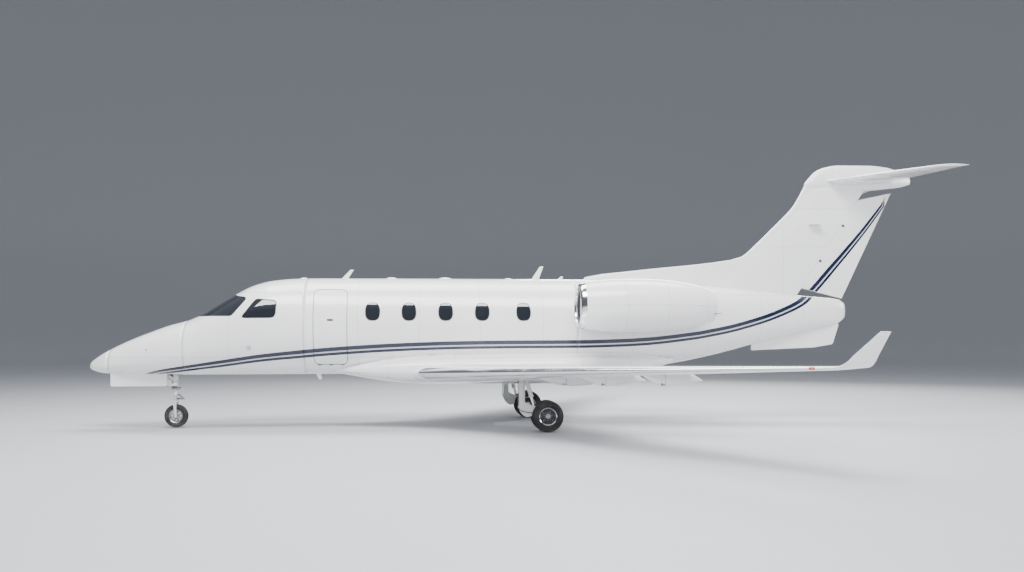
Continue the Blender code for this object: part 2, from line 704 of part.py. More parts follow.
def flap_front(reach):
    """Front of a flap: low at its nose, sloping up and aft under the wing's upper skin."""
    def nose(shift, depth, height):
        lift = 0.03
        return [(depth, height), (reach + shift, height), (reach + shift, lift - shift),
                (shift + 0.02, -0.005 - shift), (shift, -0.02), (shift, -height), (depth, -height)]
    return nose


def pod(name, out, side):
    """Slender fairing under the wing round a flap hinge."""
    low, high = next((a, b) for a, b in zip(WING, WING[1:]) if a[0] <= out <= b[0])
    t = (out - low[0]) / (high[0] - low[0])
    leading, trailing, height = (low[i] + t * (high[i] - low[i]) for i in (1, 2, 3))
    rings = []
    for share, top, bottom, half in POD_SHAPE:
        station = leading + share * (trailing - leading) if share < 1 else trailing + share - 1
        middle, reach = height + (top + bottom) / 2, (top - bottom) / 2
        rings.append([(x_of(station), side * out + half * cos(a), middle + reach * sin(a))
                      for a in (2 * pi * (i + 0.5) / POD_SIDES for i in range(POD_SIDES))])
    return loft(name, rings)


def dropped(point, along):
    """The point on a flap's hinge that lies square below a point on the front of the flap."""
    frame, _ = hinge_frame(point, point + along)
    return frame @ Vector((0, 0, -FLAP_DROP))


def add_pod(wing, flap, start, end, out, side, name):
    """The pod's front stands on the wing, its rear on the flap, and a pin joins them on the hinge."""
    half_height, half_width, pin_half = TONGUE
    pin, bore = BRACKET_PIN
    along = (end - start).normalized()
    share = (side * out - start.y) / along.y
    centre = dropped(start + along * share, along)
    frame, _ = hinge_frame(centre, centre + along)
    front = pod(f"{name}_front", out, side)
    keep(front, slab(f"{name}_front_room", frame, [(-1.5, -0.3), (-POD_GAP, -0.3), (-POD_GAP, 0.4), (-1.5, 0.4)],
                     0.5), solver=THIN)
    tongue = [(-0.030, -half_height), (half_height, -half_height), (half_height, half_height),
              (-0.030, half_height)]
    join(front, slab(f"{name}_tongue", frame, tongue, half_width), solver=THIN)
    join(front, rod(f"{name}_pin", centre - along * pin_half, centre + along * pin_half, pin,
                    sides=PIN_SIDES), solver=THIN)
    join(wing, front, solver=THIN)
    rear = pod(f"{name}_rear", out, side)
    below = POD_GAP + 0.3 * tan(radians(POD_SWING))
    room = [(POD_GAP, 0.0), (below, -0.3), (1.5, -0.3), (1.5, 0.4), (POD_GAP, 0.4)]
    keep(rear, slab(f"{name}_rear_room", frame, room, 0.5), solver=THIN)
    clear = half_height + 0.010
    notch = [(-0.05, -clear), (clear, -clear), (clear, clear), (-0.05, clear)]
    cut(rear, slab(f"{name}_notch", frame, notch, half_width + POD_GAP), solver=THIN)
    cut(rear, rod(f"{name}_bore", centre - along * (pin_half + 0.002), centre + along * (pin_half + 0.002),
                  bore, sides=PIN_SIDES), solver=THIN)
    join(flap, rear, solver=THIN)


def slab(name, frame, outline, half):
    """A block in a hinge frame: its outline as (aft of the hinge, up from it), and half its width."""
    return loft(name, [[frame @ Vector((a, b, c)) for b, c in outline] for a in (-half, half)])


def make_flaps(wing, tag, side):
    for part, out_start, out_end, share, extra in FLAPS:
        start, _ = surface_point(WING, side, out_start, share)
        end, _ = surface_point(WING, side, out_end, share)
        front = flap_front(0.10)
        cut(wing, hinged_region(f"flap_cove_{part}_{tag}", start, end, (-RUN, -RUN), front, extra=extra),
            solver=THIN)
        flap = lifting_surface(f"flap_{part}_{tag}", WING, side, finish="white_paint")
        low, high = shorten(start, end, RUN)
        keep(flap, hinged_region(f"flap_form_{part}_{tag}", low, high, (0.0, 0.0), front, 1.1, 0.3,
                                 streamwise=extra > 0), solver=THIN)
        for number, (owner, out) in enumerate(FLAP_PODS, start=1):
            if owner == part:
                add_pod(wing, flap, start, end, out, side, f"pod_{number}_{tag}")
        smooth(flap)
        set_origin(flap, dropped(start.lerp(end, FLAP_ORIGIN), end - start))


# Tail

def on_line(line, height):
    station, level, slope = line
    return station + slope * (height - level)


def fin_ring(height, leading):
    shoulder = max(on_line(FIN_SHOULDER, height), leading + 0.05)
    hinge = on_line(HINGE, height)
    trailing = on_line(FIN_TRAILING, height)
    middle = shoulder + 0.35 * (hinge - shoulder)
    half = [(leading, 0.0), (leading + 0.05, 0.022), (shoulder, 0.040), (middle, 0.090),
            (hinge, RUDDER_NOSE + 0.001), (trailing, FIN_EDGE)]
    right = [(x_of(s), y, height) for s, y in half]
    left = [(x_of(s), -y, height) for s, y in reversed(half[1:])]
    return right + left


def crossing(start, direction, line):
    """Where a line in the (station, height) plane meets the line through two points."""
    (a, b), (c, d) = line
    along = Vector((c - a, d - b))
    offset = Vector((a, b)) - start
    share = (offset.x * along.y - offset.y * along.x) / (direction.x * along.y - direction.y * along.x)
    return start + direction * share


def rudder_ring(line):
    """End of the rudder on a slanting line: a round nose about the hinge, then flat sides."""
    station, level, slope = HINGE
    hinge_point = Vector((station, level))
    up = Vector((slope, 1.0)).normalized()
    aft = Vector((up.y, -up.x))
    trailing_point = Vector(FIN_TRAILING[:2])
    trailing = crossing(trailing_point, Vector((FIN_TRAILING[2], 1.0)), line)
    nose = [(RUDDER_NOSE * cos(a), RUDDER_NOSE * sin(a)) for a in (radians(90 + 18 * i) for i in range(11))]
    ring = []
    for back, y in nose:
        point = crossing(hinge_point + aft * back, up, line)
        ring.append((x_of(point.x), y, point.y))
    ring.append((x_of(trailing.x), -FIN_EDGE, trailing.y))
    ring.append((x_of(trailing.x), FIN_EDGE, trailing.y))
    return ring


def add_rudder_bracket(fin, rudder, height, number):
    """An arm on the fin holds a pin that the rudder turns on, above and below a notch in its nose."""
    pin, bore = BRACKET_PIN
    centre = Vector((x_of(on_line(HINGE, height)), 0, height))
    up = Vector((HINGE[2], 0, 1)).normalized()
    frame, _ = hinge_frame(centre, centre + up)
    name = f"rudder_bracket_{number}"
    arm = [(-0.12, -0.014), (0.014, -0.014), (0.014, 0.014), (-0.12, 0.014)]
    join(fin, slab(f"{name}_arm", frame, arm, 0.018), solver=THIN)
    join(fin, rod(f"{name}_pin", centre - up * 0.045, centre + up * 0.045, pin, sides=PIN_SIDES), solver=THIN)
    notch = [(-0.10, -0.09), (0.028, -0.09), (0.028, 0.09), (-0.10, 0.09)]
    cut(rudder, slab(f"{name}_notch", frame, notch, 0.024), solver=THIN)
    cut(rudder, rod(f"{name}_bore", centre - up * 0.050, centre + up * 0.050, bore, sides=PIN_SIDES),
        solver=THIN)


def make_fin():
    rings = [fin_ring(height, leading) for height, leading in FIN_LEADING]
    cap_room = cap("cap_clearance", -TOUCH)
    body_room = hull("fin_seat", CABIN_END, TAIL_END, inset=-TOUCH)
    low = Vector((x_of(on_line(HINGE, 2.2)), 0, 2.2))
    high = Vector((x_of(on_line(HINGE, 4.9)), 0, 4.9))
    fin = loft("fin", rings, "white_paint")
    cut(fin, body_room, cap_room, solver=THIN)
    cove = RUDDER_NOSE + RUN
    cut(fin, hinged_region("rudder_cove", low, high, (cove, cove), round_nose, 2.5, 0.6), solver=THIN)
    smooth(fin)
    rudder = loft("rudder", [rudder_ring(line) for line in (RUDDER_BOTTOM, RUDDER_TOP)], "white_paint")
    for number, height in enumerate(RUDDER_BRACKETS, start=1):
        add_rudder_bracket(fin, rudder, height, number)
    smooth(rudder)
    set_origin(rudder, (x_of(on_line(HINGE, 3.4)), 0, 3.4))


def cap(name, inset=0.0, finish=None):
    rings = [section_ring(row[0], row[1:], inset, 2.0, 20) for row in FIN_CAP]
    return loft(name, rings, finish)


def tailplane_rings(swell=0.0):
    left = [wing_ring(row, -1, swell) for row in reversed(TAILPLANE)]
    right = [wing_ring(row, 1, swell) for row in TAILPLANE[1:]]
    return left + right


def make_tailplane():
    body = cap("fin_cap", finish="white_paint")
    cut(body, loft("tailplane_slot", tailplane_rings(TOUCH * 2)))
    smooth(body)
    plane = loft("tailplane", tailplane_rings(), "white_paint")
    for tag, side in SIDES.items():
        start, r0 = surface_point(TAILPLANE, side, ELEVATOR[0], ELEVATOR[2])
        end, r1 = surface_point(TAILPLANE, side, ELEVATOR[1], ELEVATOR[2])
        cut(plane, hinged_region(f"elevator_cove_{tag}", start, end, (r0 + RUN, r1 + RUN), round_nose),
            solver=THIN)
        elevator = loft(f"elevator_{tag}", tailplane_rings(), "white_paint")
        low, high = shorten(start, end, RUN)
        keep(elevator, hinged_region(f"elevator_form_{tag}", low, high, (r0 * 0.98, r1 * 0.98),
                                     plain_nose, 1.1, 0.3), solver=THIN)
        end_pins(plane, elevator, start, end, f"elevator_{tag}")
        smooth(elevator)
        set_origin(elevator, (start + end) / 2)
    smooth(plane)


def make_ventral_fin():
    outline = [(12.43, 1.70), (12.43, 1.395), (13.70, 1.450), (14.09, 1.515), (14.215, 1.90), (14.10, 2.05)]
    fin = prism("ventral_fin", stations(outline), "Y", -0.025, 0.025, "white_paint")
    cut(fin, hull("ventral_seat", CABIN_END, TAIL_END, inset=-TOUCH))


# Engines

def make_engine(tag, side):
    centre = Vector((0, side * ENGINE_Y, ENGINE_Z))
    def along(profile):
        return [(x_of(s), r) for s, r in profile]
    turned(f"inlet_lip_{tag}", along(LIP), centre, "X", "polished_metal")
    turned(f"cowl_{tag}", along(COWL), centre, "X", "white_paint")
    turned(f"engine_core_{tag}", along(CORE), centre, "X", "dark_metal")
    turned(f"fan_{tag}", along(FAN), centre, "X", "fan_metal")
    outer = [(8.86, 0.0)] + [(s, r) for s, r in COWL[:9]] + [(11.29, 0.0)]
    clearance = turned(f"cowl_clearance_{tag}", along(outer), centre, "X", grow=TOUCH)
    # distance out, leading edge, trailing edge, height, thickness over chord, cant
    table = [(0.45, 9.30, 11.15, 2.26, 0.085, 0), (1.15, 9.42, 10.95, 2.26, 0.085, 0)]
    pylon = lifting_surface(f"pylon_{tag}", table, side, finish="white_paint")
    cut(pylon, clearance, hull(f"pylon_seat_{tag}", CABIN_END, TAIL_END, inset=-TOUCH))
    smooth(pylon)


# Landing gear

def tyre_profile(radius, width, rim):
    half = width / 2
    side = rim + 0.45 * (radius - rim)
    return [(-half * 0.65, rim), (-half, side), (-half * 0.80, radius - 0.012), (-half * 0.40, radius),
            (half * 0.40, radius), (half * 0.80, radius - 0.012), (half, side), (half * 0.65, rim)]


def rim_profile(rim, width, hub):
    half = width / 2
    return [(-half * 0.60, hub), (-half * 0.60, rim), (half * 0.60, rim), (half * 0.60, hub)]


def make_nose_gear():
    x = x_of(NOSE_STATION)
    hub = Vector((x, 0, NOSE_RADIUS))
    turned("nose_tyre", tyre_profile(NOSE_RADIUS, NOSE_TYRE_WIDTH, 0.120), hub, "Y", "tyre_rubber",
           WHEEL_SIDES)
    turned("nose_rim", rim_profile(0.120 - TOUCH, NOSE_TYRE_WIDTH, 0.0125), hub, "Y", "wheel_metal", WHEEL_SIDES)
    leg_x = x - 0.015
    leg = rod("nose_leg", (leg_x, 0, 1.2997), (leg_x, 0, 0.66), 0.050, "leg_paint")
    join(leg, box("nose_leg_lugs", (leg_x - 0.04, leg_x + 0.04), (-0.1445, 0.1445), (1.18, 1.26)))
    join(leg, rod("nose_drag_brace", (leg_x - 0.45, 0, 1.2650), (leg_x, 0, 0.84), 0.025))
    fork = rod("nose_fork", (leg_x, 0, 0.6597), (leg_x, 0, 0.50), 0.036, "wheel_metal")
    join(fork, box("fork_crown", (leg_x - 0.035, leg_x + 0.0352), (-0.092, 0.092), (0.455, 0.505)),
         solver=THIN)
    for tag, side in SIDES.items():
        low, high = sorted((side * 0.066, side * 0.090))
        join(fork, box(f"fork_blade_{tag}", (leg_x - 0.028, leg_x + 0.043), (low, high), (0.185, 0.480)),
             solver=THIN)
    join(fork, rod("nose_axle", (x, -0.095, NOSE_RADIUS), (x, 0.095, NOSE_RADIUS), 0.012), solver=THIN)
    for arm, outline in TORQUE_LINK.items():
        half = TORQUE_LINK_HALF + (0.003 if arm == "lower" else 0.0)
        link = [(leg_x + a, b) for a, b in outline]
        join(fork, prism(f"torque_link_{arm}", link, "Y", -half, half), solver=THIN)
    set_origin(fork, (leg_x, 0, 0.66))
    for tag, side in SIDES.items():
        half = NOSE_BAY[2]
        low, high = sorted((side * (half + 0.004), side * (half + 0.026)))
        door = box(f"nose_door_{tag}", (x_of(0.40), x_of(1.385)), (low, high), (0.765, 1.10), "white_paint")
        cut(door, hull(f"nose_door_seat_{tag}", 0.27, NOSE_END, inset=-TOUCH))


def make_main_gear(tag, side):
    y = side * MAIN_Y
    x = x_of(MAIN_STATION)
    pivot = (x_of(7.74), y, 0.46)
    leg = rod(f"main_leg_{tag}", (pivot[0], y, 1.10), pivot, 0.055, "leg_paint")
    join(leg, rod(f"trailing_arm_{tag}", (pivot[0], y, 0.44), (x, y, MAIN_RADIUS), 0.050, end_radius=0.036))
    join(leg, rod(f"arm_eye_{tag}", (pivot[0], y - 0.07, 0.44), (pivot[0], y + 0.07, 0.44), 0.065))
    cut(leg, rod(f"axle_bore_{tag}", (x, y - 0.2, MAIN_RADIUS), (x, y + 0.2, MAIN_RADIUS), AXLE + 0.001,
                 sides=24))
    join(leg, rod(f"oleo_{tag}", (x_of(7.98), y, 0.36), (x_of(7.80), y, 0.98), 0.036))
    cut(leg, lifting_surface(f"leg_wing_seat_{tag}", WING[:4], side, TOUCH))
    hub = Vector((x, y, MAIN_RADIUS))
    for place_name, offset in (("inner", -TWIN_OFFSET * side), ("outer", TWIN_OFFSET * side)):
        centre = hub + Vector((0, offset, 0))
        turned(f"main_tyre_{place_name}_{tag}", tyre_profile(MAIN_RADIUS, MAIN_TYRE_WIDTH, 0.152),
               centre, "Y", "tyre_rubber", WHEEL_SIDES)
    reach = TWIN_OFFSET + MAIN_TYRE_WIDTH * 0.32
    inner = TWIN_OFFSET - MAIN_TYRE_WIDTH * 0.32
    ring = 0.152 - TOUCH
    profile = [(-reach, 0.0), (-reach, ring), (-inner, ring), (-inner, AXLE), (inner, AXLE),
               (inner, ring), (reach, ring), (reach, 0.0)]
    turned(f"main_rim_{tag}", profile, hub, "Y", "wheel_metal", WHEEL_SIDES)


def main():
    make_nose()
    make_cockpit()
    make_cabin()
    make_tail_cone()
    make_belly()
    make_interior()
    for tag, side in SIDES.items():
        make_wing(tag, side)
        make_engine(tag, side)
        make_main_gear(tag, side)
    make_fin()
    make_tailplane()
    make_ventral_fin()
    make_nose_gear()


main()
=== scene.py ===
# %% [markdown]
# # A business jet, dressed for its portrait
# The CAD model gives every part its place, its size and its joints. This script adds what the eye looks for:
# smooth skins instead of flat facets, a striped livery, glass, polished lips, fan blades, tyres with grooves,
# leather seats and the light they are seen in. The nose points to -X, the left side is -Y, and Z is up.

# %% Load the frame
import json
from math import cos, pi, radians, sin, sqrt, tan

import bmesh
import bpy
import numpy as np
from mathutils import Matrix, Vector
from mathutils.bvhtree import BVHTree

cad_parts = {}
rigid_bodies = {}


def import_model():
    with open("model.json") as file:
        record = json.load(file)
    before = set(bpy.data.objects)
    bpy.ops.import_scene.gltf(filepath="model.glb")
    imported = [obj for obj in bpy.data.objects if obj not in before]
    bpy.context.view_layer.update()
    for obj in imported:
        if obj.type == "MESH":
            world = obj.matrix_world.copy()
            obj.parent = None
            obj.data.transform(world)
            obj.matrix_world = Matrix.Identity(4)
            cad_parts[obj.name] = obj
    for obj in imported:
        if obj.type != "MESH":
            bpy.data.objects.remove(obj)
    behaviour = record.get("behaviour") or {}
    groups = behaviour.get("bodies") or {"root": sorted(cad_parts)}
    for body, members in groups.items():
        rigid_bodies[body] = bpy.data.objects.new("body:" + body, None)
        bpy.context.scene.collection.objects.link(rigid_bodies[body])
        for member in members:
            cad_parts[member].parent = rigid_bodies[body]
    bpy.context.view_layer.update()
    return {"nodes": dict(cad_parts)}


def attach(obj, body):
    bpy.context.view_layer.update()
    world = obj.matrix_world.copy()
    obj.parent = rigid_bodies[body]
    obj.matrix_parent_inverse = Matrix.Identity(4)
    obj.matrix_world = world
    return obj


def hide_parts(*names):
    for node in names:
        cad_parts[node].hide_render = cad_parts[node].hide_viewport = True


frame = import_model()
NODES = frame["nodes"]
SIDES = {"l": -1, "r": 1}

# %% [markdown]
# ## Writing materials as arithmetic
# A material is a net of small nodes. Wiring them by hand hides the idea, so `Wire` lets a formula such as
# `1 - mask * 0.3` build its own Math nodes, and `Finish` makes any other node from its type, settings and
# inputs. Values that stay the same all over a surface are set straight on the shader's sockets.

# %% Wires and finishes
class Wire:
    """A socket that can be used in a formula."""

    def __init__(self, finish, socket):
        self.finish, self.socket = finish, socket

    def math(self, operation, *others, flip=False):
        inputs = [self, *others]
        if flip:
            inputs.reverse()
        return self.finish.node("ShaderNodeMath", {"operation": operation}, dict(enumerate(inputs)))

    def __add__(self, other): return self.math("ADD", other)
    def __radd__(self, other): return self.math("ADD", other)
    def __sub__(self, other): return self.math("SUBTRACT", other)
    def __rsub__(self, other): return self.math("SUBTRACT", other, flip=True)
    def __mul__(self, other): return self.math("MULTIPLY", other)
    def __rmul__(self, other): return self.math("MULTIPLY", other)
    def __truediv__(self, other): return self.math("DIVIDE", other)
    def __gt__(self, other): return self.math("GREATER_THAN", other)
    def __lt__(self, other): return self.math("LESS_THAN", other)
    def absolute(self): return self.math("ABSOLUTE")
    def sine(self): return self.math("SINE")
    def at_most(self, other): return self.math("MINIMUM", other)
    def at_least(self, other): return self.math("MAXIMUM", other)
    def wrap(self, period): return self.math("PINGPONG", period)

    def ramp(self, low, high, start=0.0, end=1.0):
        """Runs smoothly from start to end while this wire runs from low to high."""
        settings = {"interpolation_type": "SMOOTHSTEP"}
        return self.finish.node("ShaderNodeMapRange", settings, {0: self, 1: low, 2: high, 3: start, 4: end})


class Finish:
    """A material in the making: constants go on the shader, wires follow through `paint`."""

    def __init__(self, name, color=(0.8, 0.8, 0.8), **constants):
        self.material = bpy.data.materials.new(name)
        self.material.use_nodes = True
        self.tree = self.material.node_tree
        self.shader = self.tree.nodes["Principled BSDF"]
        self.shader.inputs["Base Color"].default_value = (*color, 1)
        for label, value in constants.items():
            self.shader.inputs[label.replace("_", " ").title().replace("Ior", "IOR")].default_value = value

    def node(self, kind, settings=None, inputs=None, output=0):
        made = self.tree.nodes.new(kind)
        for label, value in (settings or {}).items():
            setattr(made, label, value)
        for key, value in (inputs or {}).items():
            if isinstance(value, Wire):
                self.tree.links.new(value.socket, made.inputs[key])
            else:
                made.inputs[key].default_value = value
        return Wire(self, made.outputs[output])

    def place(self):
        """Object coordinates, which are the frame's metres, as three wires and one vector."""
        vector = self.node("ShaderNodeTexCoord", output="Object")
        return [self.node("ShaderNodeSeparateXYZ", {}, {0: vector}, output=i) for i in range(3)] + [vector]

    def attribute(self, name):
        return self.node("ShaderNodeAttribute", {"attribute_name": name}, output="Fac")

    def noise(self, vector, scale, detail=3.0, rough=0.55):
        return self.node("ShaderNodeTexNoise", {}, {"Vector": vector, "Scale": scale, "Detail": detail,
                                                    "Roughness": rough})

    def stretch(self, vector, factors):
        return self.node("ShaderNodeVectorMath", {"operation": "MULTIPLY"}, {0: vector, 1: factors})

    def mix(self, share, one, two):
        """Between two colours, which are wires or triples."""
        one, two = ((*c, 1) if isinstance(c, tuple) else c for c in (one, two))
        made = self.node("ShaderNodeMix", {"data_type": "RGBA"}, {0: share, 6: one, 7: two}, output=2)
        return made

    def paint(self, **wires):
        for label, wire in wires.items():
            self.tree.links.new(wire.socket, self.shader.inputs[label.replace("_", " ").title()])
        return self

    def bump(self, height, distance, strength=1.0):
        made = self.node("ShaderNodeBump", {}, {"Height": height, "Distance": distance, "Strength": strength})
        return self.paint(normal=made)


FINISHES = {}


def finish(name, color, **constants):
    FINISHES[name] = Finish(name, color, **constants)
    return FINISHES[name]

# %% [markdown]
# ## Paint
# Aircraft paint is a thick gloss coat over smooth skin. Close up it has a faint orange peel and a little film
# of dust, the panels meet in narrow dark joints with rivet rows beside them, and the livery's stripes are
# sprayed on top. Joints are where a coordinate comes close to a listed place. The stripe needs a real
# distance from a curve, so the mesh carries it as an attribute named `stripe`, worked out in Python.

# %% Paint finishes
WHITE, NAVY, SILVER = (0.84, 0.84, 0.845), (0.005, 0.010, 0.036), (0.55, 0.56, 0.58)
STRIPE_BANDS = (0.072, 0.097, 0.147)     # upper band ends, lower band starts, lower band ends
JOINT = 0.0022                           # half width of a panel joint
RIVET_PITCH = 0.05


def joint_mask(wire, places, half):
    """1 where a wire comes within a half width of one of the places."""
    closest = None
    for value in places:
        gap = (wire - value).absolute()
        closest = gap if closest is None else closest.at_most(gap)
    return closest.ramp(half, half * 0.4)


def rivets(along, across, places, pitch):
    """A row of round heads on both sides of each joint."""
    gap = None
    for value in places:
        beside = ((across - value).absolute() - 0.014).absolute()
        gap = beside if gap is None else gap.at_most(beside)
    step = (along.wrap(pitch / 2) - pitch / 4).absolute()
    reach = (gap * gap + step * step).math("SQRT")
    return reach.ramp(0.0042, 0.0026)


def make_paint(name, rings=(), levels=(), stripe=False, base=WHITE):
    """Gloss paint with panel joints at x = rings and z = levels."""
    paint = finish(name, base, roughness=0.24, coat_weight=0.4, coat_roughness=0.04, specular_ior_level=0.5)
    x, y, z, vector = paint.place()
    dust = paint.noise(paint.stretch(vector, (0.7, 1.5, 2.5)), 1.6, 5.0, 0.6).ramp(0.42, 0.75)
    color = paint.mix(dust * 0.5, base, tuple(c * 0.90 for c in base))
    if stripe:
        depth = paint.attribute("stripe")
        upper, start, end = STRIPE_BANDS
        soft = 0.0012
        width = paint.attribute("stripe_width")
        top, low, high = width * upper, width * start, width * end
        band = (depth.ramp(-soft, soft) * (depth - top).ramp(soft, -soft))
        lower = (depth - low).ramp(-soft, soft) * (depth - high).ramp(soft, -soft)
        pin = (depth - top).ramp(-soft, soft) * (depth - low).ramp(soft, -soft)
        color = paint.mix(pin, color, SILVER)
        color = paint.mix(band + lower, color, NAVY)
    joint = None
    heads = None
    for wire, along, places in ((x, z + y, rings), (z, x, levels)):
        if places:
            line = joint_mask(wire, places, JOINT)
            dots = rivets(along, wire, places, RIVET_PITCH)
            joint = line if joint is None else joint.at_least(line)
            heads = dots if heads is None else heads.at_least(dots)
    if joint is not None:
        color = paint.mix(joint * 0.75, color, (0.10, 0.10, 0.11))
        color = paint.mix(heads * 0.18, color, (0.25, 0.25, 0.26))
    paint.paint(base_color=color, roughness=dust * 0.16 + 0.20)
    peel = paint.noise(vector, 260.0, 2.0)
    wave = paint.noise(vector, 3.0, 1.0)
    height = peel * 0.00004 + wave * 0.0016
    if joint is not None:
        height = height - joint * 0.0016 + heads * 0.0004
    paint.bump(height, 1.0, 0.6)
    return paint

# %% [markdown]
# ## Making solids from rings
# Nearly every skin of an aircraft is a loft: closed rings set along a line and joined by faces. Openings are
# then cut with booleans, which is how the real skin gets its doors and windows too. The cut leaves long thin
# faces whose averaged normals would show as dents in gloss paint, so `polish` copies the normals of the
# whole, uncut skin back onto the cut one.

# %% Shape tools
LENGTH = 15.70


def x_of(station):
    return station - LENGTH / 2


def new_object(name, verts, faces):
    mesh = bpy.data.meshes.new(name)
    mesh.from_pydata([tuple(v) for v in verts], [], faces)
    mesh.update()
    thing = bpy.data.objects.new(name, mesh)
    bpy.context.scene.collection.objects.link(thing)
    return thing


def facing_out(thing):
    """Turn all faces outwards."""
    form = bmesh.new()
    form.from_mesh(thing.data)
    bmesh.ops.recalc_face_normals(form, faces=form.faces)
    form.to_mesh(thing.data)
    form.free()
    return thing


def loft(name, rings, caps=True, around=True):
    """Faces between rings of equal length, closed at both ends."""
    count = len(rings[0])
    verts = [p for ring in rings for p in ring]
    faces = []
    for i in range(len(rings) - 1):
        for j in range(count if around else count - 1):
            a, b = i * count + j, i * count + (j + 1) % count
            faces.append((a, b, b + count, a + count))
    if caps:
        faces.append(tuple(reversed(range(count))))
        faces.append(tuple(range(len(verts) - count, len(verts))))
    return facing_out(new_object(name, verts, faces))


def smooth_line(points, steps=6, closed=False):
    """A soft curve through points in any number of dimensions (Catmull-Rom)."""
    p = np.array(points, float)
    count = len(p)
    line = []
    for i in range(count if closed else count - 1):
        if closed:
            a, b, c, d = (p[(i + k) % count] for k in (-1, 0, 1, 2))
        else:
            b, c = p[i], p[i + 1]
            a = p[i - 1] if i else 2 * b - c
            d = p[i + 2] if i + 2 < count else 2 * c - b
        for t in np.arange(steps) / steps:
            line.append(0.5 * (2 * b + (c - a) * t + (2 * a - 5 * b + 4 * c - d) * t ** 2
                               + (3 * b - a - 3 * c + d) * t ** 3))
    if not closed:
        line.append(p[-1])
    return [tuple(map(float, q)) for q in line]


def turned(name, profile, centre, axis="X", sides=96):
    """A profile of (distance along the axis, radius) swept round an axis through centre."""
    rings = []
    for along, radius in profile:
        ring = []
        for k in range(sides):
            a, b = radius * cos(2 * pi * k / sides), radius * sin(2 * pi * k / sides)
            ring.append(Vector(centre) + Vector({"X": (along, a, b), "Y": (b, along, a), "Z": (a, b, along)}[axis]))
        rings.append(ring)
    return loft(name, rings)


def hoop(name, profile, centre, axis="X", sides=96):
    """A closed profile swept round an axis: a ring, a tyre or a duct."""
    thing = turned(name, [*profile, profile[0]], centre, axis, sides)
    form = bmesh.new()
    form.from_mesh(thing.data)
    bmesh.ops.delete(form, geom=[f for f in form.faces if len(f.verts) == sides], context="FACES_ONLY")
    bmesh.ops.remove_doubles(form, verts=form.verts, dist=1e-6)
    bmesh.ops.recalc_face_normals(form, faces=form.faces)
    form.to_mesh(thing.data)
    form.free()
    return thing


def rod(name, start, end, radius, far_radius=None, sides=24):
    return tube(name, [start, end], radius, far_radius, sides)


def bar(name, centre, half, radius, sides=24):
    """A round bar across the body, such as an axle or a pin."""
    reach = Vector((0, half, 0))
    return rod(name, Vector(centre) - reach, Vector(centre) + reach, radius, sides=sides)


def turns(count):
    """Even angles once round a circle."""
    return [2 * pi * k / count for k in range(count)]


def tube(name, points, radius, far_radius=None, sides=12):
    """A round bar along points, its radius running from one end's to the other's."""
    points = [Vector(p) for p in points]
    far_radius = radius if far_radius is None else far_radius
    rings = []
    side = None
    for i, point in enumerate(points):
        ahead = (points[min(i + 1, len(points) - 1)] - points[max(i - 1, 0)]).normalized()
        if side is None:
            side = ahead.orthogonal().normalized()
        side = (side - ahead * side.dot(ahead)).normalized()
        other = ahead.cross(side)
        r = radius + (far_radius - radius) * i / (len(points) - 1)
        rings.append([point + (side * cos(a) + other * sin(a)) * r
                      for a in turns(sides)])
    return loft(name, rings)


def prism(name, outline, axis, low, high):
    """An outline in the two other axes, drawn out along one."""
    order = {"X": lambda a, b, t: (t, a, b), "Y": lambda a, b, t: (a, t, b), "Z": lambda a, b, t: (a, b, t)}[axis]
    return loft(name, [[order(a, b, t) for a, b in outline] for t in (low, high)])


def block(name, low, high, round_by=0.0, segments=2):
    """A box with rounded edges."""
    thing = prism(name, [(low[0], low[1]), (high[0], low[1]), (high[0], high[1]), (low[0], high[1])], "Z",
                  low[2], high[2])
    return soften(thing, round_by, segments) if round_by else thing


def soften(thing, width, segments=2, degrees=40):
    """Round the sharp edges of a piece."""
    form = bmesh.new()
    form.from_mesh(thing.data)
    edges = [e for e in form.edges if len(e.link_faces) == 2 and e.calc_face_angle() > radians(degrees)]
    bmesh.ops.bevel(form, geom=edges, offset=width, segments=segments, profile=0.5, affect="EDGES",
                    clamp_overlap=True)
    form.to_mesh(thing.data)
    form.free()
    return thing


def carve(thing, tool, operation="DIFFERENCE", solver="MANIFOLD", keep_tool=False):
    """A boolean that is worked out at once."""
    step = thing.modifiers.new("carve", "BOOLEAN")
    step.operation, step.solver, step.object = operation, solver, tool
    bpy.context.view_layer.update()
    graph = bpy.context.evaluated_depsgraph_get()
    mesh = bpy.data.meshes.new_from_object(thing.evaluated_get(graph))
    thing.modifiers.clear()
    thing.data = mesh
    if not keep_tool:
        bpy.data.objects.remove(tool)
    return thing


def welded(name, things):
    """Several forms as one piece, without working out where they cross."""
    form = bmesh.new()
    for thing in things:
        form.from_mesh(thing.data)
        bpy.data.objects.remove(thing)
    mesh = bpy.data.meshes.new(name)
    form.to_mesh(mesh)
    form.free()
    whole = bpy.data.objects.new(name, mesh)
    bpy.context.scene.collection.objects.link(whole)
    return whole


def copy_of(thing, name):
    twin = bpy.data.objects.new(name, thing.data.copy())
    bpy.context.scene.collection.objects.link(twin)
    return twin


def shade(thing, degrees=35):
    thing.data.shade_smooth()
    thing.data.set_sharp_from_angle(angle=radians(degrees))
    return thing


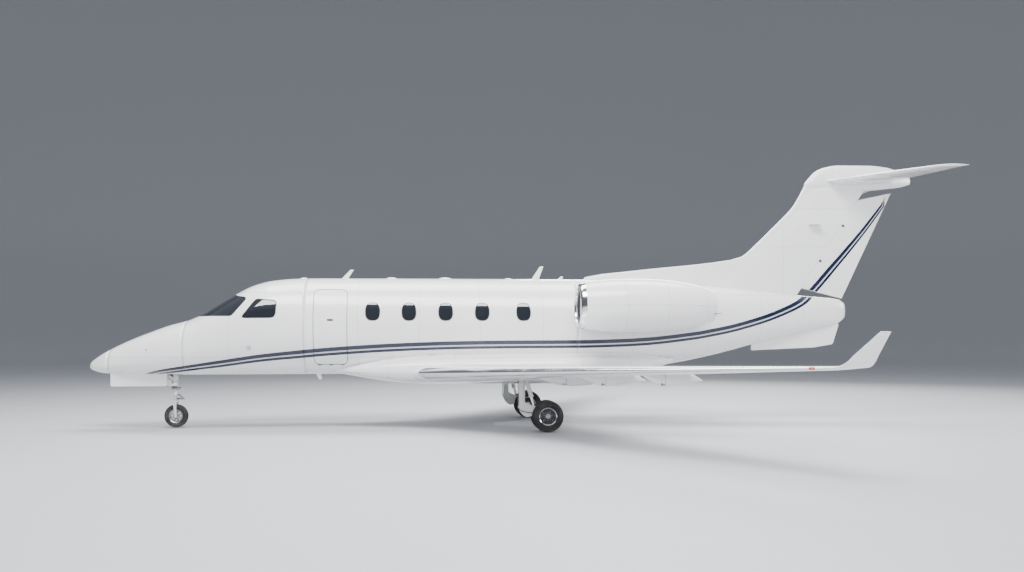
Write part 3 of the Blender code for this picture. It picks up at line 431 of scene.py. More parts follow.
def polish(thing, whole, reach=0.0006):
    """Give the faces that are left of a whole skin the normals that it had."""
    shade(whole, 60)
    shade(thing, 30)
    source, mesh = whole.data, thing.data
    tree = BVHTree.FromPolygons([v.co for v in source.vertices], [tuple(p.vertices) for p in source.polygons])
    normals = [Vector(n.vector) for n in source.vertex_normals]
    corners = [Vector(n.vector) for n in mesh.corner_normals]
    known = {}

    def skin_normal(index):
        if index not in known:
            spot, _, face, _ = tree.find_nearest(mesh.vertices[index].co)
            total = Vector()
            for v in source.polygons[face].vertices:
                total += normals[v] / ((source.vertices[v].co - spot).length + 1e-6)
            known[index] = total.normalized()
        return known[index]

    for face in mesh.polygons:
        spot, normal, _, gap = tree.find_nearest(face.center)
        if gap < reach + 0.002 and normal.dot(face.normal) > 0.95:
            for loop in face.loop_indices:
                corners[loop] = skin_normal(mesh.loops[loop].vertex_index)
    mesh.normals_split_custom_set(corners)
    bpy.data.objects.remove(whole)
    return thing


def dress(thing, look, body="airframe", stands_for=(), degrees=35, smooth=True):
    """Finish, smooth shading, body and the CAD nodes that a piece stands for."""
    if smooth and not thing.data.has_custom_normals:
        shade(thing, degrees)
    thing.data.materials.clear()
    thing.data.materials.append(FINISHES[look].material)
    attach(thing, body)
    if stands_for:
        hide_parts(*stands_for)
    return thing


def blend(table, station):
    """Read a table of sections at a station, smooth and without overshoot."""
    index = max([i for i in range(len(table) - 1) if table[i][0] <= station] or [0])
    here, there = np.array(table[index], float), np.array(table[index + 1], float)
    span = there[0] - here[0]
    t = min(max((station - here[0]) / span, 0.0), 1.0)

    def slope(i):
        rows = [np.array(table[j], float) for j in (max(i - 1, 0), i, min(i + 1, len(table) - 1))]
        if i in (0, len(table) - 1):
            return (rows[2] - rows[0])[1:] / (rows[2] - rows[0])[0]
        before = (rows[1] - rows[0])[1:] / (rows[1] - rows[0])[0]
        after = (rows[2] - rows[1])[1:] / (rows[2] - rows[1])[0]
        both = before * after
        return np.where(both > 0, 2 * both / np.where(both > 0, before + after, 1), 0.0)

    m0, m1 = slope(index) * span, slope(index + 1) * span
    return (here[1:] * (2 * t ** 3 - 3 * t ** 2 + 1) + m0 * (t ** 3 - 2 * t ** 2 + t)
            + there[1:] * (3 * t ** 2 - 2 * t ** 3) + m1 * (t ** 3 - t ** 2))


def span(side, near, far):
    """From near to far on one side of the centre plane, lowest first."""
    return sorted((side * near, side * far))


def count_of(*words):
    """How many pieces have one of the words in their name."""
    return sum(any(word in thing.name for word in words) for thing in bpy.data.objects)


def steps_between(low, high, size):
    return list(np.linspace(low, high, max(int(round((high - low) / size)), 1) + 1))


def oval(x, z, half_x, half_z, count=48, power=2.6):
    points = []
    for i in range(count):
        a, b = cos(2 * pi * i / count), sin(2 * pi * i / count)
        points.append((x + half_x * abs(a) ** (2 / power) * (1 if a >= 0 else -1),
                       z + half_z * abs(b) ** (2 / power) * (1 if b >= 0 else -1)))
    return points


def rounded(points, corner, steps=6):
    """An outline with its corners rounded."""
    outline = []
    for before, here, after in zip(points[-1:] + points[:-1], points, points[1:] + points[:1]):
        here, before, after = Vector(here), Vector(before), Vector(after)
        one = here + (before - here).normalized() * min(corner, (before - here).length * 0.45)
        two = here + (after - here).normalized() * min(corner, (after - here).length * 0.45)
        for k in range(steps + 1):
            t = k / steps
            outline.append(tuple(one * (1 - t) ** 2 + here * 2 * t * (1 - t) + two * t ** 2))
    return outline


def grown(outline, amount):
    """An outline moved outwards by an amount."""
    points = [Vector(p) for p in outline]
    area = sum(a.x * b.y - b.x * a.y for a, b in zip(points, points[1:] + points[:1]))
    turn = 1 if area > 0 else -1
    result = []
    for before, here, after in zip(points[-1:] + points[:-1], points, points[1:] + points[:1]):
        one, two = (here - before).normalized(), (after - here).normalized()
        out = (Vector((one.y, -one.x)) + Vector((two.y, -two.x))) * turn
        result.append(tuple(here + out.normalized() * amount / max(out.length / 2, 0.4)))
    return result

# %% [markdown]
# ## Fuselage
# The body is drawn from the same cross sections as the CAD model: at each station a top, a bottom, a half
# width and the height of the widest point, joined by a curve a little squarer than an ellipse. Here the
# sections follow each other every few centimetres, so the gloss runs along the side without facets.

# %% Fuselage sections
HULL = [
    (0.00, 1.150, 1.105, 0.022, 1.128), (0.08, 1.250, 1.045, 0.110, 1.145), (0.27, 1.380, 1.000, 0.215, 1.175),
    (0.70, 1.597, 0.980, 0.365, 1.250), (1.06, 1.744, 0.972, 0.465, 1.330), (1.43, 1.878, 0.970, 0.555, 1.420),
    (1.75, 1.965, 0.970, 0.620, 1.500), (1.95, 2.050, 0.970, 0.660, 1.560), (2.27, 2.245, 0.970, 0.725, 1.650),
    (2.59, 2.436, 0.970, 0.780, 1.740), (2.93, 2.610, 0.970, 0.825, 1.810), (3.27, 2.700, 0.970, 0.850, 1.850),
    (3.70, 2.740, 0.970, 0.868, 1.860), (4.20, 2.750, 0.970, 0.870, 1.860), (8.60, 2.760, 0.970, 0.870, 1.865),
    (9.50, 2.755, 1.000, 0.840, 1.880), (10.50, 2.720, 1.100, 0.740, 1.930), (11.50, 2.650, 1.280, 0.580, 1.990),
    (12.50, 2.560, 1.530, 0.400, 2.080), (13.50, 2.465, 1.770, 0.220, 2.150), (14.20, 2.400, 1.930, 0.100, 2.180),
    (14.35, 2.310, 2.050, 0.050, 2.180),
]
FAIRING = [
    (4.40, 1.10, 1.000, 0.40, 1.05), (4.70, 1.17, 0.950, 0.61, 1.06), (5.10, 1.26, 0.880, 0.83, 1.06),
    (5.60, 1.34, 0.815, 0.98, 1.08), (6.20, 1.38, 0.780, 1.04, 1.09), (8.80, 1.42, 0.780, 1.04, 1.11),
    (9.50, 1.42, 0.840, 0.99, 1.14), (10.10, 1.38, 0.970, 0.83, 1.18), (10.60, 1.30, 1.120, 0.60, 1.22),
    (10.75, 1.28, 1.180, 0.50, 1.23),
]
HULL_POWER, FAIRING_POWER = 2.15, 2.6
RADOME_END, NOSE_END, COCKPIT_END, CABIN_END, TAIL_END = 0.37, 1.75, 3.90, 8.85, 14.35
SKIN_WALL = 0.05         # depth of the visible skin round windows and door
SHUT = 0.0015            # half the joint between two lengths of skin
AROUND = 112             # points round a section


def section(station, values, inset=0.0, power=HULL_POWER, count=AROUND):
    top, bottom, half, middle = values
    ring = []
    for i in range(count):
        angle = 2 * pi * i / count
        across, up = cos(angle), sin(angle)
        reach = (top - middle if up >= 0 else middle - bottom) - inset
        ring.append((x_of(station),
                     (half - inset) * abs(across) ** (2 / power) * (1 if across >= 0 else -1),
                     middle + reach * abs(up) ** (2 / power) * (1 if up >= 0 else -1)))
    return ring


def hull_values(station):
    """The nose tip is blunt, so it follows a square root up to the first full section."""
    if station < HULL[1][0]:
        tip, full = np.array(HULL[0][1:]), np.array(HULL[1][1:])
        return tip + (full - tip) * sqrt(max(station, 0.0) / HULL[1][0])
    return blend(HULL, min(station, TAIL_END))


def hull(name, start, end, inset=0.0, size=0.05, count=AROUND):
    places = steps_between(start, end, size)
    if start < 0.01:
        places = [0.0, 0.003, 0.010, 0.022, 0.04, 0.06] + [s for s in places if s > 0.07]
    return loft(name, [section(s, hull_values(s), inset, count=count) for s in places])


def side_reach(station, height):
    """Distance from the centre plane to the skin at a height."""
    top, bottom, half, middle = hull_values(station)
    share = min(abs(height - middle) / ((top - middle) if height > middle else (middle - bottom)), 1.0)
    return half * (1 - share ** HULL_POWER) ** (1 / HULL_POWER)


def side_prism(name, outline, near=-1.3, far=1.3):
    """A side-view outline of (station, height), drawn out from near to far across the body."""
    return prism(name, [(x_of(s), z) for s, z in outline], "Y", near, far)

# %% [markdown]
# ## Livery
# Two navy bands with a silver line between them rise from under the nose, run along below the windows, climb
# the tail cone and end at the rudder's edge. The curve is the upper band's top edge, as (station, height).
# Each point of the skin gets its distance below that curve, and the bands' width there.

# %% Stripe
STRIPE = [(0.80, 0.93), (1.25, 1.06), (1.87, 1.162), (2.449, 1.251), (3.128, 1.352), (3.835, 1.428),
          (4.363, 1.476), (5.249, 1.534), (6.32, 1.578), (7.41, 1.597), (8.51, 1.603), (9.256, 1.612),
          (10.20, 1.655), (11.05, 1.748), (11.415, 1.806), (11.83, 1.885), (12.25, 1.990), (12.67, 2.117),
          (13.117, 2.291), (13.37, 2.420), (13.52, 2.530), (13.669, 2.672), (13.934, 2.969), (14.303, 3.367),
          (14.662, 3.767), (14.913, 4.068), (15.10, 4.30)]
# width of the bands as (station, share of the full width)
STRIPE_WIDTH = [(0.0, 0.55), (1.3, 0.60), (2.4, 0.85), (4.0, 1.0), (13.0, 1.0), (14.0, 1.05), (14.5, 0.85),
                (15.2, 0.55)]
STRIPE_LINE = np.array(smooth_line(STRIPE, 10))


def lay_stripe(thing):
    """Store each point's distance below the stripe's top edge."""
    mesh = thing.data
    points = np.array([v.co for v in mesh.vertices])
    flat = np.column_stack((points[:, 0] + LENGTH / 2, points[:, 2]))
    start, end = STRIPE_LINE[:-1], STRIPE_LINE[1:]
    along = end - start
    best = np.full(len(flat), 1e9)
    signed = np.zeros(len(flat))
    for a, d in zip(start, along):
        share = np.clip(((flat - a) @ d) / (d @ d), 0, 1)
        off = flat - (a + share[:, None] * d)
        gap = np.hypot(*off.T)
        turn = np.sign(d[1] * off[:, 0] - d[0] * off[:, 1])
        closer = gap < best
        best[closer] = gap[closer]
        signed[closer] = (gap * turn)[closer]
    width = np.interp(flat[:, 0], *zip(*STRIPE_WIDTH))
    for label, values in (("stripe", signed), ("stripe_width", width)):
        mesh.attributes.new(label, "FLOAT", "POINT").data.foreach_set("value", values.astype(np.float32))
    return thing

# %% Fuselage skins
RINGS = [x_of(s) for s in (2.59, 4.86, 5.95, 7.05, 8.20, 9.90, 11.40, 12.50, 13.40)]
make_paint("hull_paint", rings=RINGS, levels=(1.30, 2.46), stripe=True)
make_paint("white_paint", rings=(), levels=())
WINDOW_STATIONS = [5.12, 5.766, 6.425, 7.085, 7.839]
WINDOW_HEIGHT, WINDOW_HALF = 2.123, (0.130, 0.166)
DOOR = (4.069, 4.673, 1.163, 2.521)
DOOR_CORNER, DOOR_GAP = 0.07, 0.011
NOSE_BAY = (0.42, 1.66, 0.145, 1.30)
WINDSCREEN = [(1.80, 2.033), (2.635, 2.032), (2.878, 2.335), (2.858, 2.385), (2.680, 2.407), (2.585, 2.452),
              (2.400, 2.620), (1.80, 2.350)]
SIDE_WINDOW = [(2.815, 2.028), (3.053, 2.351), (3.384, 2.325), (3.430, 2.279), (3.422, 2.060), (3.370, 1.998),
               (2.845, 1.993)]
CENTRE_POST = 0.035
door_outline = rounded([(DOOR[0], DOOR[2]), (DOOR[1], DOOR[2]), (DOOR[1], DOOR[3]), (DOOR[0], DOOR[3])],
                       DOOR_CORNER * 1.5)
screen_outline = rounded(WINDSCREEN, 0.05)
quarter_outline = rounded(SIDE_WINDOW, 0.05)


def skin(name, start, end, node, cutters=(), wall=None):
    """One length of the fuselage with its openings."""
    whole = hull(f"{name}_whole", start + SHUT, end - SHUT)
    thing = copy_of(whole, name)
    if wall:
        carve(thing, hull("room", start - 0.2, end + 0.2, wall, 0.2))
    for cutter in cutters:
        carve(thing, cutter)
    polish(thing, whole)
    lay_stripe(thing)
    dress(thing, "hull_paint", stands_for=(node,))
    return thing


radome = skin("radome_skin", 0.0, RADOME_END, "radome")
bay = block("bay", (x_of(NOSE_BAY[0]), -NOSE_BAY[2], 0.8), (x_of(NOSE_BAY[1]), NOSE_BAY[2], NOSE_BAY[3]))
nose = skin("nose_skin", RADOME_END, NOSE_END, "nose_section", [bay])
openings = []
for side in (-1, 1):
    for label, outline, inner in (("screen", screen_outline, CENTRE_POST), ("quarter", quarter_outline, 0.30)):
        openings.append(side_prism(label, outline, *span(side, inner, 1.3)))
cockpit = skin("cockpit_skin", NOSE_END, COCKPIT_END, "cockpit_shell", openings, wall=SKIN_WALL)
openings = [side_prism("window", oval(s, WINDOW_HEIGHT, *WINDOW_HALF)) for s in WINDOW_STATIONS]
openings.append(side_prism("doorway", door_outline, -1.3, -0.2))
cabin = skin("cabin_skin", COCKPIT_END, CABIN_END, "cabin_shell", openings, wall=SKIN_WALL)
tail = skin("tail_skin", CABIN_END, TAIL_END - 0.02, "aft_fuselage")
print("fuselage faces:", [len(t.data.polygons) for t in (radome, nose, cockpit, cabin, tail)])

# %% [markdown]
# ### Belly fairing
# A smooth tub under the body closes the joint with the wing. It is its own loft, with squarer sections.

# %% Belly fairing
rows = [section(s, blend(FAIRING, s), power=FAIRING_POWER) for s in steps_between(4.40, 10.75, 0.07)]
whole = loft("belly_whole", rows)
belly = copy_of(whole, "belly_skin")
carve(belly, hull("seat", COCKPIT_END, 11.0, -0.0005))
polish(belly, whole)
make_paint("belly_paint", rings=[x_of(s) for s in (5.4, 6.6, 8.9, 9.8)], levels=(1.02,))
dress(belly, "belly_paint", stands_for=("belly_fairing",))

# %% [markdown]
# ## Windows, windscreen and door
# A cabin window is a dark acrylic oval, held flush by a thin metal retainer over a rubber seal. The panes
# are cut out of shells of the hull itself, so they keep its curve. The glass is see-through enough to show
# the seats, yet dark, as tinted aircraft glass is from outside in daylight.

# %% Glass and seals
glass = finish("window_glass", (0.012, 0.015, 0.020), roughness=0.03, specular_ior_level=0.7, coat_weight=1.0,
               coat_roughness=0.02)
x, y, z, vector = glass.place()
film = glass.noise(vector, 2.5, 4.0).ramp(0.45, 0.8)
glass.paint(roughness=film * 0.05 + 0.02, alpha=film * 0.03 + 0.92)
seal = finish("seal_rubber", (0.015, 0.015, 0.016), roughness=0.6)
x, y, z, vector = seal.place()
chalk = seal.noise(vector, 40.0, 3.0).ramp(0.4, 0.7)
seal.paint(base_color=seal.mix(chalk, (0.012, 0.012, 0.013), (0.035, 0.035, 0.036)), roughness=chalk * 0.2 + 0.55)


def brushed(name, color, roughness, spread_of=0.10, direction=(4.0, 60.0, 60.0), size=9.0, metallic=1.0):
    """Metal with fine drawn lines and uneven sheen."""
    metal = finish(name, color, metallic=metallic, roughness=roughness)
    x, y, z, vector = metal.place()
    lines = metal.noise(metal.stretch(vector, direction), size, 3.0)
    cloud = metal.noise(vector, 7.0, 4.0)
    shadow = tuple(c * 0.72 for c in color)
    metal.paint(base_color=metal.mix(cloud.ramp(0.35, 0.75), color, shadow),
                roughness=lines * spread_of + cloud * spread_of + (roughness - spread_of))
    metal.bump(lines * 0.0002, 1.0, 0.35)
    return metal


brushed("retainer_metal", (0.62, 0.63, 0.65), 0.34)
brushed("polished_metal", (0.80, 0.81, 0.83), 0.13, 0.05)
brushed("wheel_metal", (0.60, 0.61, 0.62), 0.38)
brushed("steel", (0.42, 0.42, 0.43), 0.34)
brushed("chrome", (0.85, 0.85, 0.86), 0.10, 0.04)


def hull_layer(name, outer, inner, size=0.06):
    """A shell of the whole cabin and cockpit between two depths below the skin."""
    shell = hull(name, NOSE_END, CABIN_END, outer, size)
    return carve(shell, hull("inside", NOSE_END - 0.2, CABIN_END + 0.2, inner, size * 2))


def band(outline, out, back, near=0.2, far=1.3):
    """The space between an outline grown by out and the same shrunk by back."""
    ring = side_prism("band", grown(outline, out), near, far)
    return carve(ring, side_prism("hole", grown(outline, -back), near - 0.1, far + 0.1))


def from_layer(name, layer, tool, look, body="airframe", stands_for=()):
    part = copy_of(layer, name)
    whole = copy_of(layer, f"{name}_whole")
    carve(part, tool, "INTERSECT")
    polish(part, whole, 0.0005)
    return dress(part, look, body, stands_for)


pane_layer = hull_layer("pane_layer", 0.004, 0.011)
seal_layer = hull_layer("seal_layer", 0.0005, 0.016)
frame_layer = hull_layer("frame_layer", -0.0008, 0.012)
for tag, side in SIDES.items():
    for number, station in enumerate(WINDOW_STATIONS, start=1):
        outline = oval(station, WINDOW_HEIGHT, *WINDOW_HALF)
        name = f"cabin_window_{number}_{tag}"
        reach = span(side, 0.3, 1.3)
        from_layer(f"{name}_pane", pane_layer, side_prism("p", grown(outline, -0.002), *reach), "window_glass")
        from_layer(f"{name}_seal", seal_layer, band(outline, -0.001, 0.010, *reach), "seal_rubber")
        from_layer(f"{name}_retainer", frame_layer, band(outline, 0.009, 0.0005, *reach), "retainer_metal")
    for label, outline, near in (("windscreen", screen_outline, CENTRE_POST), ("cockpit_window", quarter_outline, 0.3)):
        shape = side_prism("p", grown(outline, -0.003), *span(side, near + 0.003, 1.3))
        from_layer(f"{label}_pane_{tag}", pane_layer, shape, "window_glass",
                   stands_for=(f"{label}_{tag}",))
        ring = band(outline, -0.001, 0.014, *span(side, near + 0.002, 1.3))
        from_layer(f"{label}_seal_{tag}", seal_layer, ring, "seal_rubber")
for layer in (pane_layer, seal_layer, frame_layer):
    bpy.data.objects.remove(layer)
print("panes and seals:", count_of("_pane", "_seal", "_retainer"))

# %% [markdown]
# ### Airstair door
# The door opens downwards on a hinge at its sill and is its own staircase: its skin carries the stripe on,
# and inside it has four treads with rubber on them, side strings, handrail cables and a lever handle.

# %% Door
whole = hull("door_whole", COCKPIT_END, CABIN_END)
door = copy_of(whole, "door_skin")
carve(door, side_prism("edge", grown(door_outline, -DOOR_GAP), -1.25, -0.2), "INTERSECT")
carve(door, hull("back", COCKPIT_END - 0.2, CABIN_END + 0.2, SKIN_WALL, 0.2))
polish(door, whole)
lay_stripe(door)
make_paint("door_paint", stripe=True)
dress(door, "door_paint", "cabin_door", ("cabin_door",))
door_seal = hull("door_seal", COCKPIT_END, CABIN_END, 0.006)
carve(door_seal, hull("back", COCKPIT_END - 0.2, CABIN_END + 0.2, 0.03, 0.2))
carve(door_seal, band(door_outline, 0.0, 0.0104, -1.3, -0.2), "INTERSECT")
dress(door_seal, "seal_rubber")

# %% [markdown]
# ## Wings
# A wing is a loft of aerofoil sections. Its rear edge is cut into separate surfaces: two flaps on each side,
# which slide down on hinges below the wing, and an aileron. The cuts are made square to each hinge line, as
# in the CAD model, so nothing rubs when it swings. A polished strip keeps ice and insects off the nose.

# %% Wing sections
WING = [
    (0.55, 5.350, 8.730, 0.998, 0.115, 0), (1.03, 5.860, 8.820, 1.018, 0.118, 0), (1.90, 6.750, 9.000, 1.060, 0.125, 0),
    (3.00, 7.573, 9.220, 1.113, 0.120, 0), (7.10, 10.620, 11.110, 1.312, 0.105, 0),
    (7.32, 10.730, 11.130, 1.334, 0.100, 25), (7.48, 10.770, 11.110, 1.395, 0.095, 50),
    (7.60, 10.800, 11.090, 1.480, 0.090, 62), (7.95, 10.930, 11.050, 1.745, 0.090, 66),
]
TAILPLANE = [(0.00, 13.870, 15.230, 4.730, 0.100, 0), (2.25, 14.970, 15.440, 4.668, 0.090, 0),
             (2.38, 15.100, 15.470, 4.664, 0.070, 0)]
RUN = 0.008
SHARES = [0.0, 0.002, 0.008] + [0.5 - 0.5 * cos(pi * k / 34) for k in range(4, 35)]
AILERON, ELEVATOR = (5.05, 6.95, 0.74), (0.24, 2.20, 0.68)
FLAPS = [("inner", 1.105, 2.94, 0.74, 0.25), ("outer", 3.06, 4.95, 0.72, 0.0)]
FLAP_DROP = 0.20


def thickness(share):
    return 5 * (0.2969 * share ** 0.5 - 0.1260 * share - 0.3516 * share ** 2 + 0.2843 * share ** 3
                - 0.1036 * share ** 4)


def wing_ring(row, side, swell=0.0):
    out, leading, trailing, height, ratio, cant = row
    chord = trailing - leading
    normal = Vector((0, -side * sin(radians(cant)), cos(radians(cant))))
    ring = []
    for share, face in [(s, 1) for s in reversed(SHARES)] + [(s, -1) for s in SHARES[1:]]:
        depth = max(thickness(share) * ratio * chord, 0.002 if share else 0.0) + (swell if share else 0.0)
        shift = -swell if share == 0 else swell if share == 1 else 0.0
        ring.append(Vector((x_of(leading + share * chord + shift), side * out, height)) + normal * depth * face)
    return ring


def fine_rows(table, size=0.12):
    """More sections: straight along the wing, curved through the bend to the winglet."""
    rows = []
    for low, high in zip(table, table[1:]):
        if low[0] < 7.0 or table is TAILPLANE:
            for t in steps_between(0, 1, size / (high[0] - low[0]))[:-1]:
                rows.append(tuple(a + t * (b - a) for a, b in zip(low, high)))
    bend = [row for row in table if row[0] >= 7.0]
    return rows + (smooth_line(bend, 6) if bend else [table[-1]])


def surface(name, table, side, swell=0.0):
    return loft(name, [wing_ring(row, side, swell) for row in fine_rows(table)])


def hinge_frame(start, end):
    """Frame on a hinge line: X along it, Y aft of it, Z up from it."""
    start, end = Vector(start), Vector(end)
    along = (end - start).normalized()
    aft = (Vector((1, 0, 0)) - along * along.x).normalized()
    up = along.cross(aft)
    if up.z < 0 and abs(up.z) > abs(up.y):
        up = -up
    return Matrix.Translation(start) @ Matrix((along, aft, up)).transposed().to_4x4(), (end - start).length


def round_nose(radius, depth, height):
    arc = [(radius * cos(a), radius * sin(a)) for a in [radians(120 + 5 * i) for i in range(25)]]
    lead = radius * cos(radians(120))
    return [(depth, height), (lead, height), *arc, (lead, -height), (depth, -height)]


def plain_nose(radius, depth, height):
    arc = [(radius * cos(a), radius * sin(a)) for a in [radians(90 + 6 * i) for i in range(31)]]
    return [(depth, height), (0.0, height), *arc, (0.0, -height), (depth, -height)]


def flap_nose(shift, depth, height):
    return [(depth, height), (0.10 + shift, height), (0.10 + shift, 0.03 - shift), (shift + 0.02, -0.005 - shift),
            (shift, -0.02), (shift, -height), (depth, -height)]


def hinged_region(name, start, end, radii, nose, depth=1.2, height=0.4, streamwise=False, extra=0.0):
    """The space that a hinged surface fills, between end faces square to its hinge line."""
    place, length = hinge_frame(start, end)
    direction = (Vector(end) - Vector(start)).normalized()
    rings = []
    for along, radius in ((-extra, radii[0]), (length, radii[1])):
        ring = [place @ Vector((along, a, b)) for a, b in nose(radius, depth, height)]
        if streamwise and along <= 0.0:
            ring = [point + direction * ((start[1] - point.y) / direction.y) for point in ring]
        rings.append(ring)
    return loft(name, rings)


def surface_point(table, side, out, share):
    low, high = next((a, b) for a, b in zip(table, table[1:]) if a[0] <= out <= b[0])
    t = (out - low[0]) / (high[0] - low[0])
    leading, trailing, height, ratio = (low[i] + t * (high[i] - low[i]) for i in (1, 2, 3, 4))
    chord = trailing - leading
    return Vector((x_of(leading + share * chord), side * out, height)), thickness(share) * ratio * chord


def shorten(start, end, gap):
    step = (end - start).normalized() * gap
    return start + step, end - step


def lay_chord(thing, table):
    """Store how far back along the chord each point is, for the paint's joints."""
    points = np.array([v.co for v in thing.data.vertices])
    outs = [row[0] for row in table]
    leading = np.interp(abs(points[:, 1]), outs, [x_of(row[1]) for row in table])
    trailing = np.interp(abs(points[:, 1]), outs, [x_of(row[2]) for row in table])
    share = (points[:, 0] - leading) / (trailing - leading)
    thing.data.attributes.new("chord", "FLOAT", "POINT").data.foreach_set("value", share.astype(np.float32))
    return thing


def wing_paint(name, ribs, spars, strip):
    """White paint with joints over the spars and ribs, and a bare metal strip round the nose."""
    paint = finish(name, WHITE, roughness=0.24, coat_weight=0.6, coat_roughness=0.05)
    x, y, z, vector = paint.place()
    chord = paint.attribute("chord")
    across = y.absolute()
    edge = chord.ramp(strip + 0.002, strip - 0.002)
    edge = edge * across.ramp(ribs[-1] + 0.004, ribs[-1] - 0.004) * across.ramp(ribs[0] - 0.004, ribs[0] + 0.004)
    spar_line = joint_mask(chord, spars, 0.0022)
    rib_line = joint_mask(across, ribs, JOINT)
    line = spar_line.at_least(rib_line)
    dust = paint.noise(paint.stretch(vector, (0.6, 1.6, 1.0)), 2.0, 5.0).ramp(0.40, 0.75)
    color = paint.mix(dust * 0.6, WHITE, tuple(c * 0.88 for c in WHITE))
    color = paint.mix(line * 0.65, color, (0.12, 0.12, 0.13))
    color = paint.mix(edge, color, (0.78, 0.79, 0.81))
    paint.paint(base_color=color, roughness=dust * 0.14 + 0.20 - edge * 0.04, metallic=edge)
    heads = rivets(x, across, ribs, RIVET_PITCH)
    paint.bump(paint.noise(vector, 260.0, 2.0) * 0.00004 + paint.noise(vector, 3.0, 1.0) * 0.0014 - line * 0.0012
               + heads * 0.0004, 1.0, 0.6)


wing_paint("wing_paint", (1.10, 1.90, 2.70, 3.50, 4.35, 5.05, 5.80, 6.55, 7.05), (0.16, 0.62), 0.045)
wing_paint("tail_paint", (0.22, 0.85, 1.50, 2.18), (0.18, 0.60), 0.06)

# %% [markdown]
# ### Flap hinge fairings
# The flaps swing on pins well below the wing. Slender fairings hide them, and each is split at its hinge:
# the front half stands on the wing, and the rear half goes down with the flap, with room cut for the swing.

# %% Fairings
FLAP_PODS = [("inner", 2.00), ("outer", 3.16), ("outer", 4.35)]
POD_SHAPE = [(0.44, -0.030, -0.045, 0.010), (0.57, -0.025, -0.150, 0.036), (0.72, -0.015, -0.230, 0.045),
             (0.90, -0.010, -0.220, 0.040), (0.995, -0.002, -0.190, 0.028), (1.230, -0.140, -0.152, 0.004)]
POD_GAP, POD_SWING, TONGUE = 0.004, 40, (0.016, 0.014, 0.030)


def wing_row(out):
    """The wing's leading edge, trailing edge and height at a distance from the centre plane."""
    return next(row for row in fine_rows(WING, 0.01) if row[0] >= out)[:4]


def slab(name, place, outline, half):
    """A block in a hinge frame: its outline as (aft of the hinge, up from it), and half its width."""
    return loft(name, [[place @ Vector((a, b, c)) for b, c in outline] for a in (-half, half)])


def pod(name, out, side):
    """A slender fairing under the wing, round a flap hinge."""
    _, leading, trailing, height = wing_row(out)
    rings = []
    for share, top, bottom, half in smooth_line(POD_SHAPE, 5):
        station = leading + share * (trailing - leading) if share < 1 else trailing + share - 1
        middle, reach = height + (top + bottom) / 2, (top - bottom) / 2
        rings.append([(x_of(station), side * out + half * cos(a), middle + reach * sin(a))
                      for a in turns(24)])
    return loft(name, rings)


def add_pod(start, end, out, side, name, flap_body):
    """The front half stands on the wing, the rear half swings with the flap, and a pin joins them."""
    along = (end - start).normalized()
    point = start + along * ((side * out - start.y) / along.y)
    centre = hinge_frame(point, point + along)[0] @ Vector((0, 0, -FLAP_DROP))
    place, _ = hinge_frame(centre, centre + along)
    front = pod(f"{name}_front", out, side)
    ahead = [(-1.5, -0.3), (-POD_GAP, -0.3), (-POD_GAP, 0.4), (-1.5, 0.4)]
    carve(front, slab("room", place, ahead, 0.5), "INTERSECT")
    dress(front, "white_paint")
    high, wide, pin_half = TONGUE
    tongue = slab(f"{name}_tongue", place, [(-0.05, -high), (high, -high), (high, high), (-0.05, high)], wide)
    pin = rod(f"{name}_pin", centre - along * pin_half, centre + along * pin_half, 0.008)
    dress(welded(f"{name}_hinge", [tongue, pin]), "steel")
    rear = pod(f"{name}_rear", out, side)
    below = POD_GAP + 0.3 * tan(radians(POD_SWING))
    behind = [(POD_GAP, 0.0), (below, -0.3), (1.5, -0.3), (1.5, 0.4), (POD_GAP, 0.4)]
    carve(rear, slab("room", place, behind, 0.5), "INTERSECT")
    clear = high + 0.010
    notch = [(-0.05, -clear), (clear, -clear), (clear, clear), (-0.05, clear)]
    carve(rear, slab("notch", place, notch, wide + 0.004))
    dress(rear, "white_paint", flap_body)


# %% Wings, flaps and ailerons
def hung(kind, fixed, whole, table, side, limits, look):
    """Cut an aileron or elevator out of a whole surface, and the cove that it turns in out of the fixed part."""
    near, far, share = limits
    (start, r0), (end, r1) = (surface_point(table, side, out, share) for out in (near, far))
    tag = "r" if side > 0 else "l"
    carve(fixed, hinged_region("cove", start, end, (r0 + RUN, r1 + RUN), round_nose))
    part = copy_of(whole, f"{kind}_skin_{tag}")
    carve(part, hinged_region("form", *shorten(start, end, RUN), (r0 * 0.98, r1 * 0.98), plain_nose, 1.1, 0.3),
          "INTERSECT")
    polish(part, copy_of(whole, "whole"))
    lay_chord(part, table)
    dress(part, look, f"{kind}_{tag}", (f"{kind}_{tag}",))


for tag, side in SIDES.items():
    whole = surface(f"wing_whole_{tag}", WING, side)
    wing = copy_of(whole, f"wing_skin_{tag}")
    for part, near, far, share, extra in FLAPS:
        start, _ = surface_point(WING, side, near, share)
        end, _ = surface_point(WING, side, far, share)
        carve(wing, hinged_region("cove", start, end, (-RUN, -RUN), flap_nose, extra=extra))
        flap = copy_of(whole, f"flap_skin_{part}_{tag}")
        carve(flap, hinged_region("form", *shorten(start, end, RUN), (0.0, 0.0), flap_nose, 1.1, 0.3,
                                  streamwise=extra > 0), "INTERSECT")
        polish(flap, copy_of(whole, "whole"))
        lay_chord(flap, WING)
        flap_name = f"flap_{part}_{tag}"
        dress(flap, "wing_paint", flap_name, (flap_name,))
        for owner, out in FLAP_PODS:
            if owner == part:
                add_pod(start, end, out, side, f"pod_{int(out * 100)}_{tag}", flap_name)
    hung("aileron", wing, whole, WING, side, AILERON, "wing_paint")
    polish(wing, whole)
    lay_chord(wing, WING)
    dress(wing, "wing_paint", "airframe", (f"wing_{tag}",))
    print("wing", tag, len(wing.data.polygons), "faces")

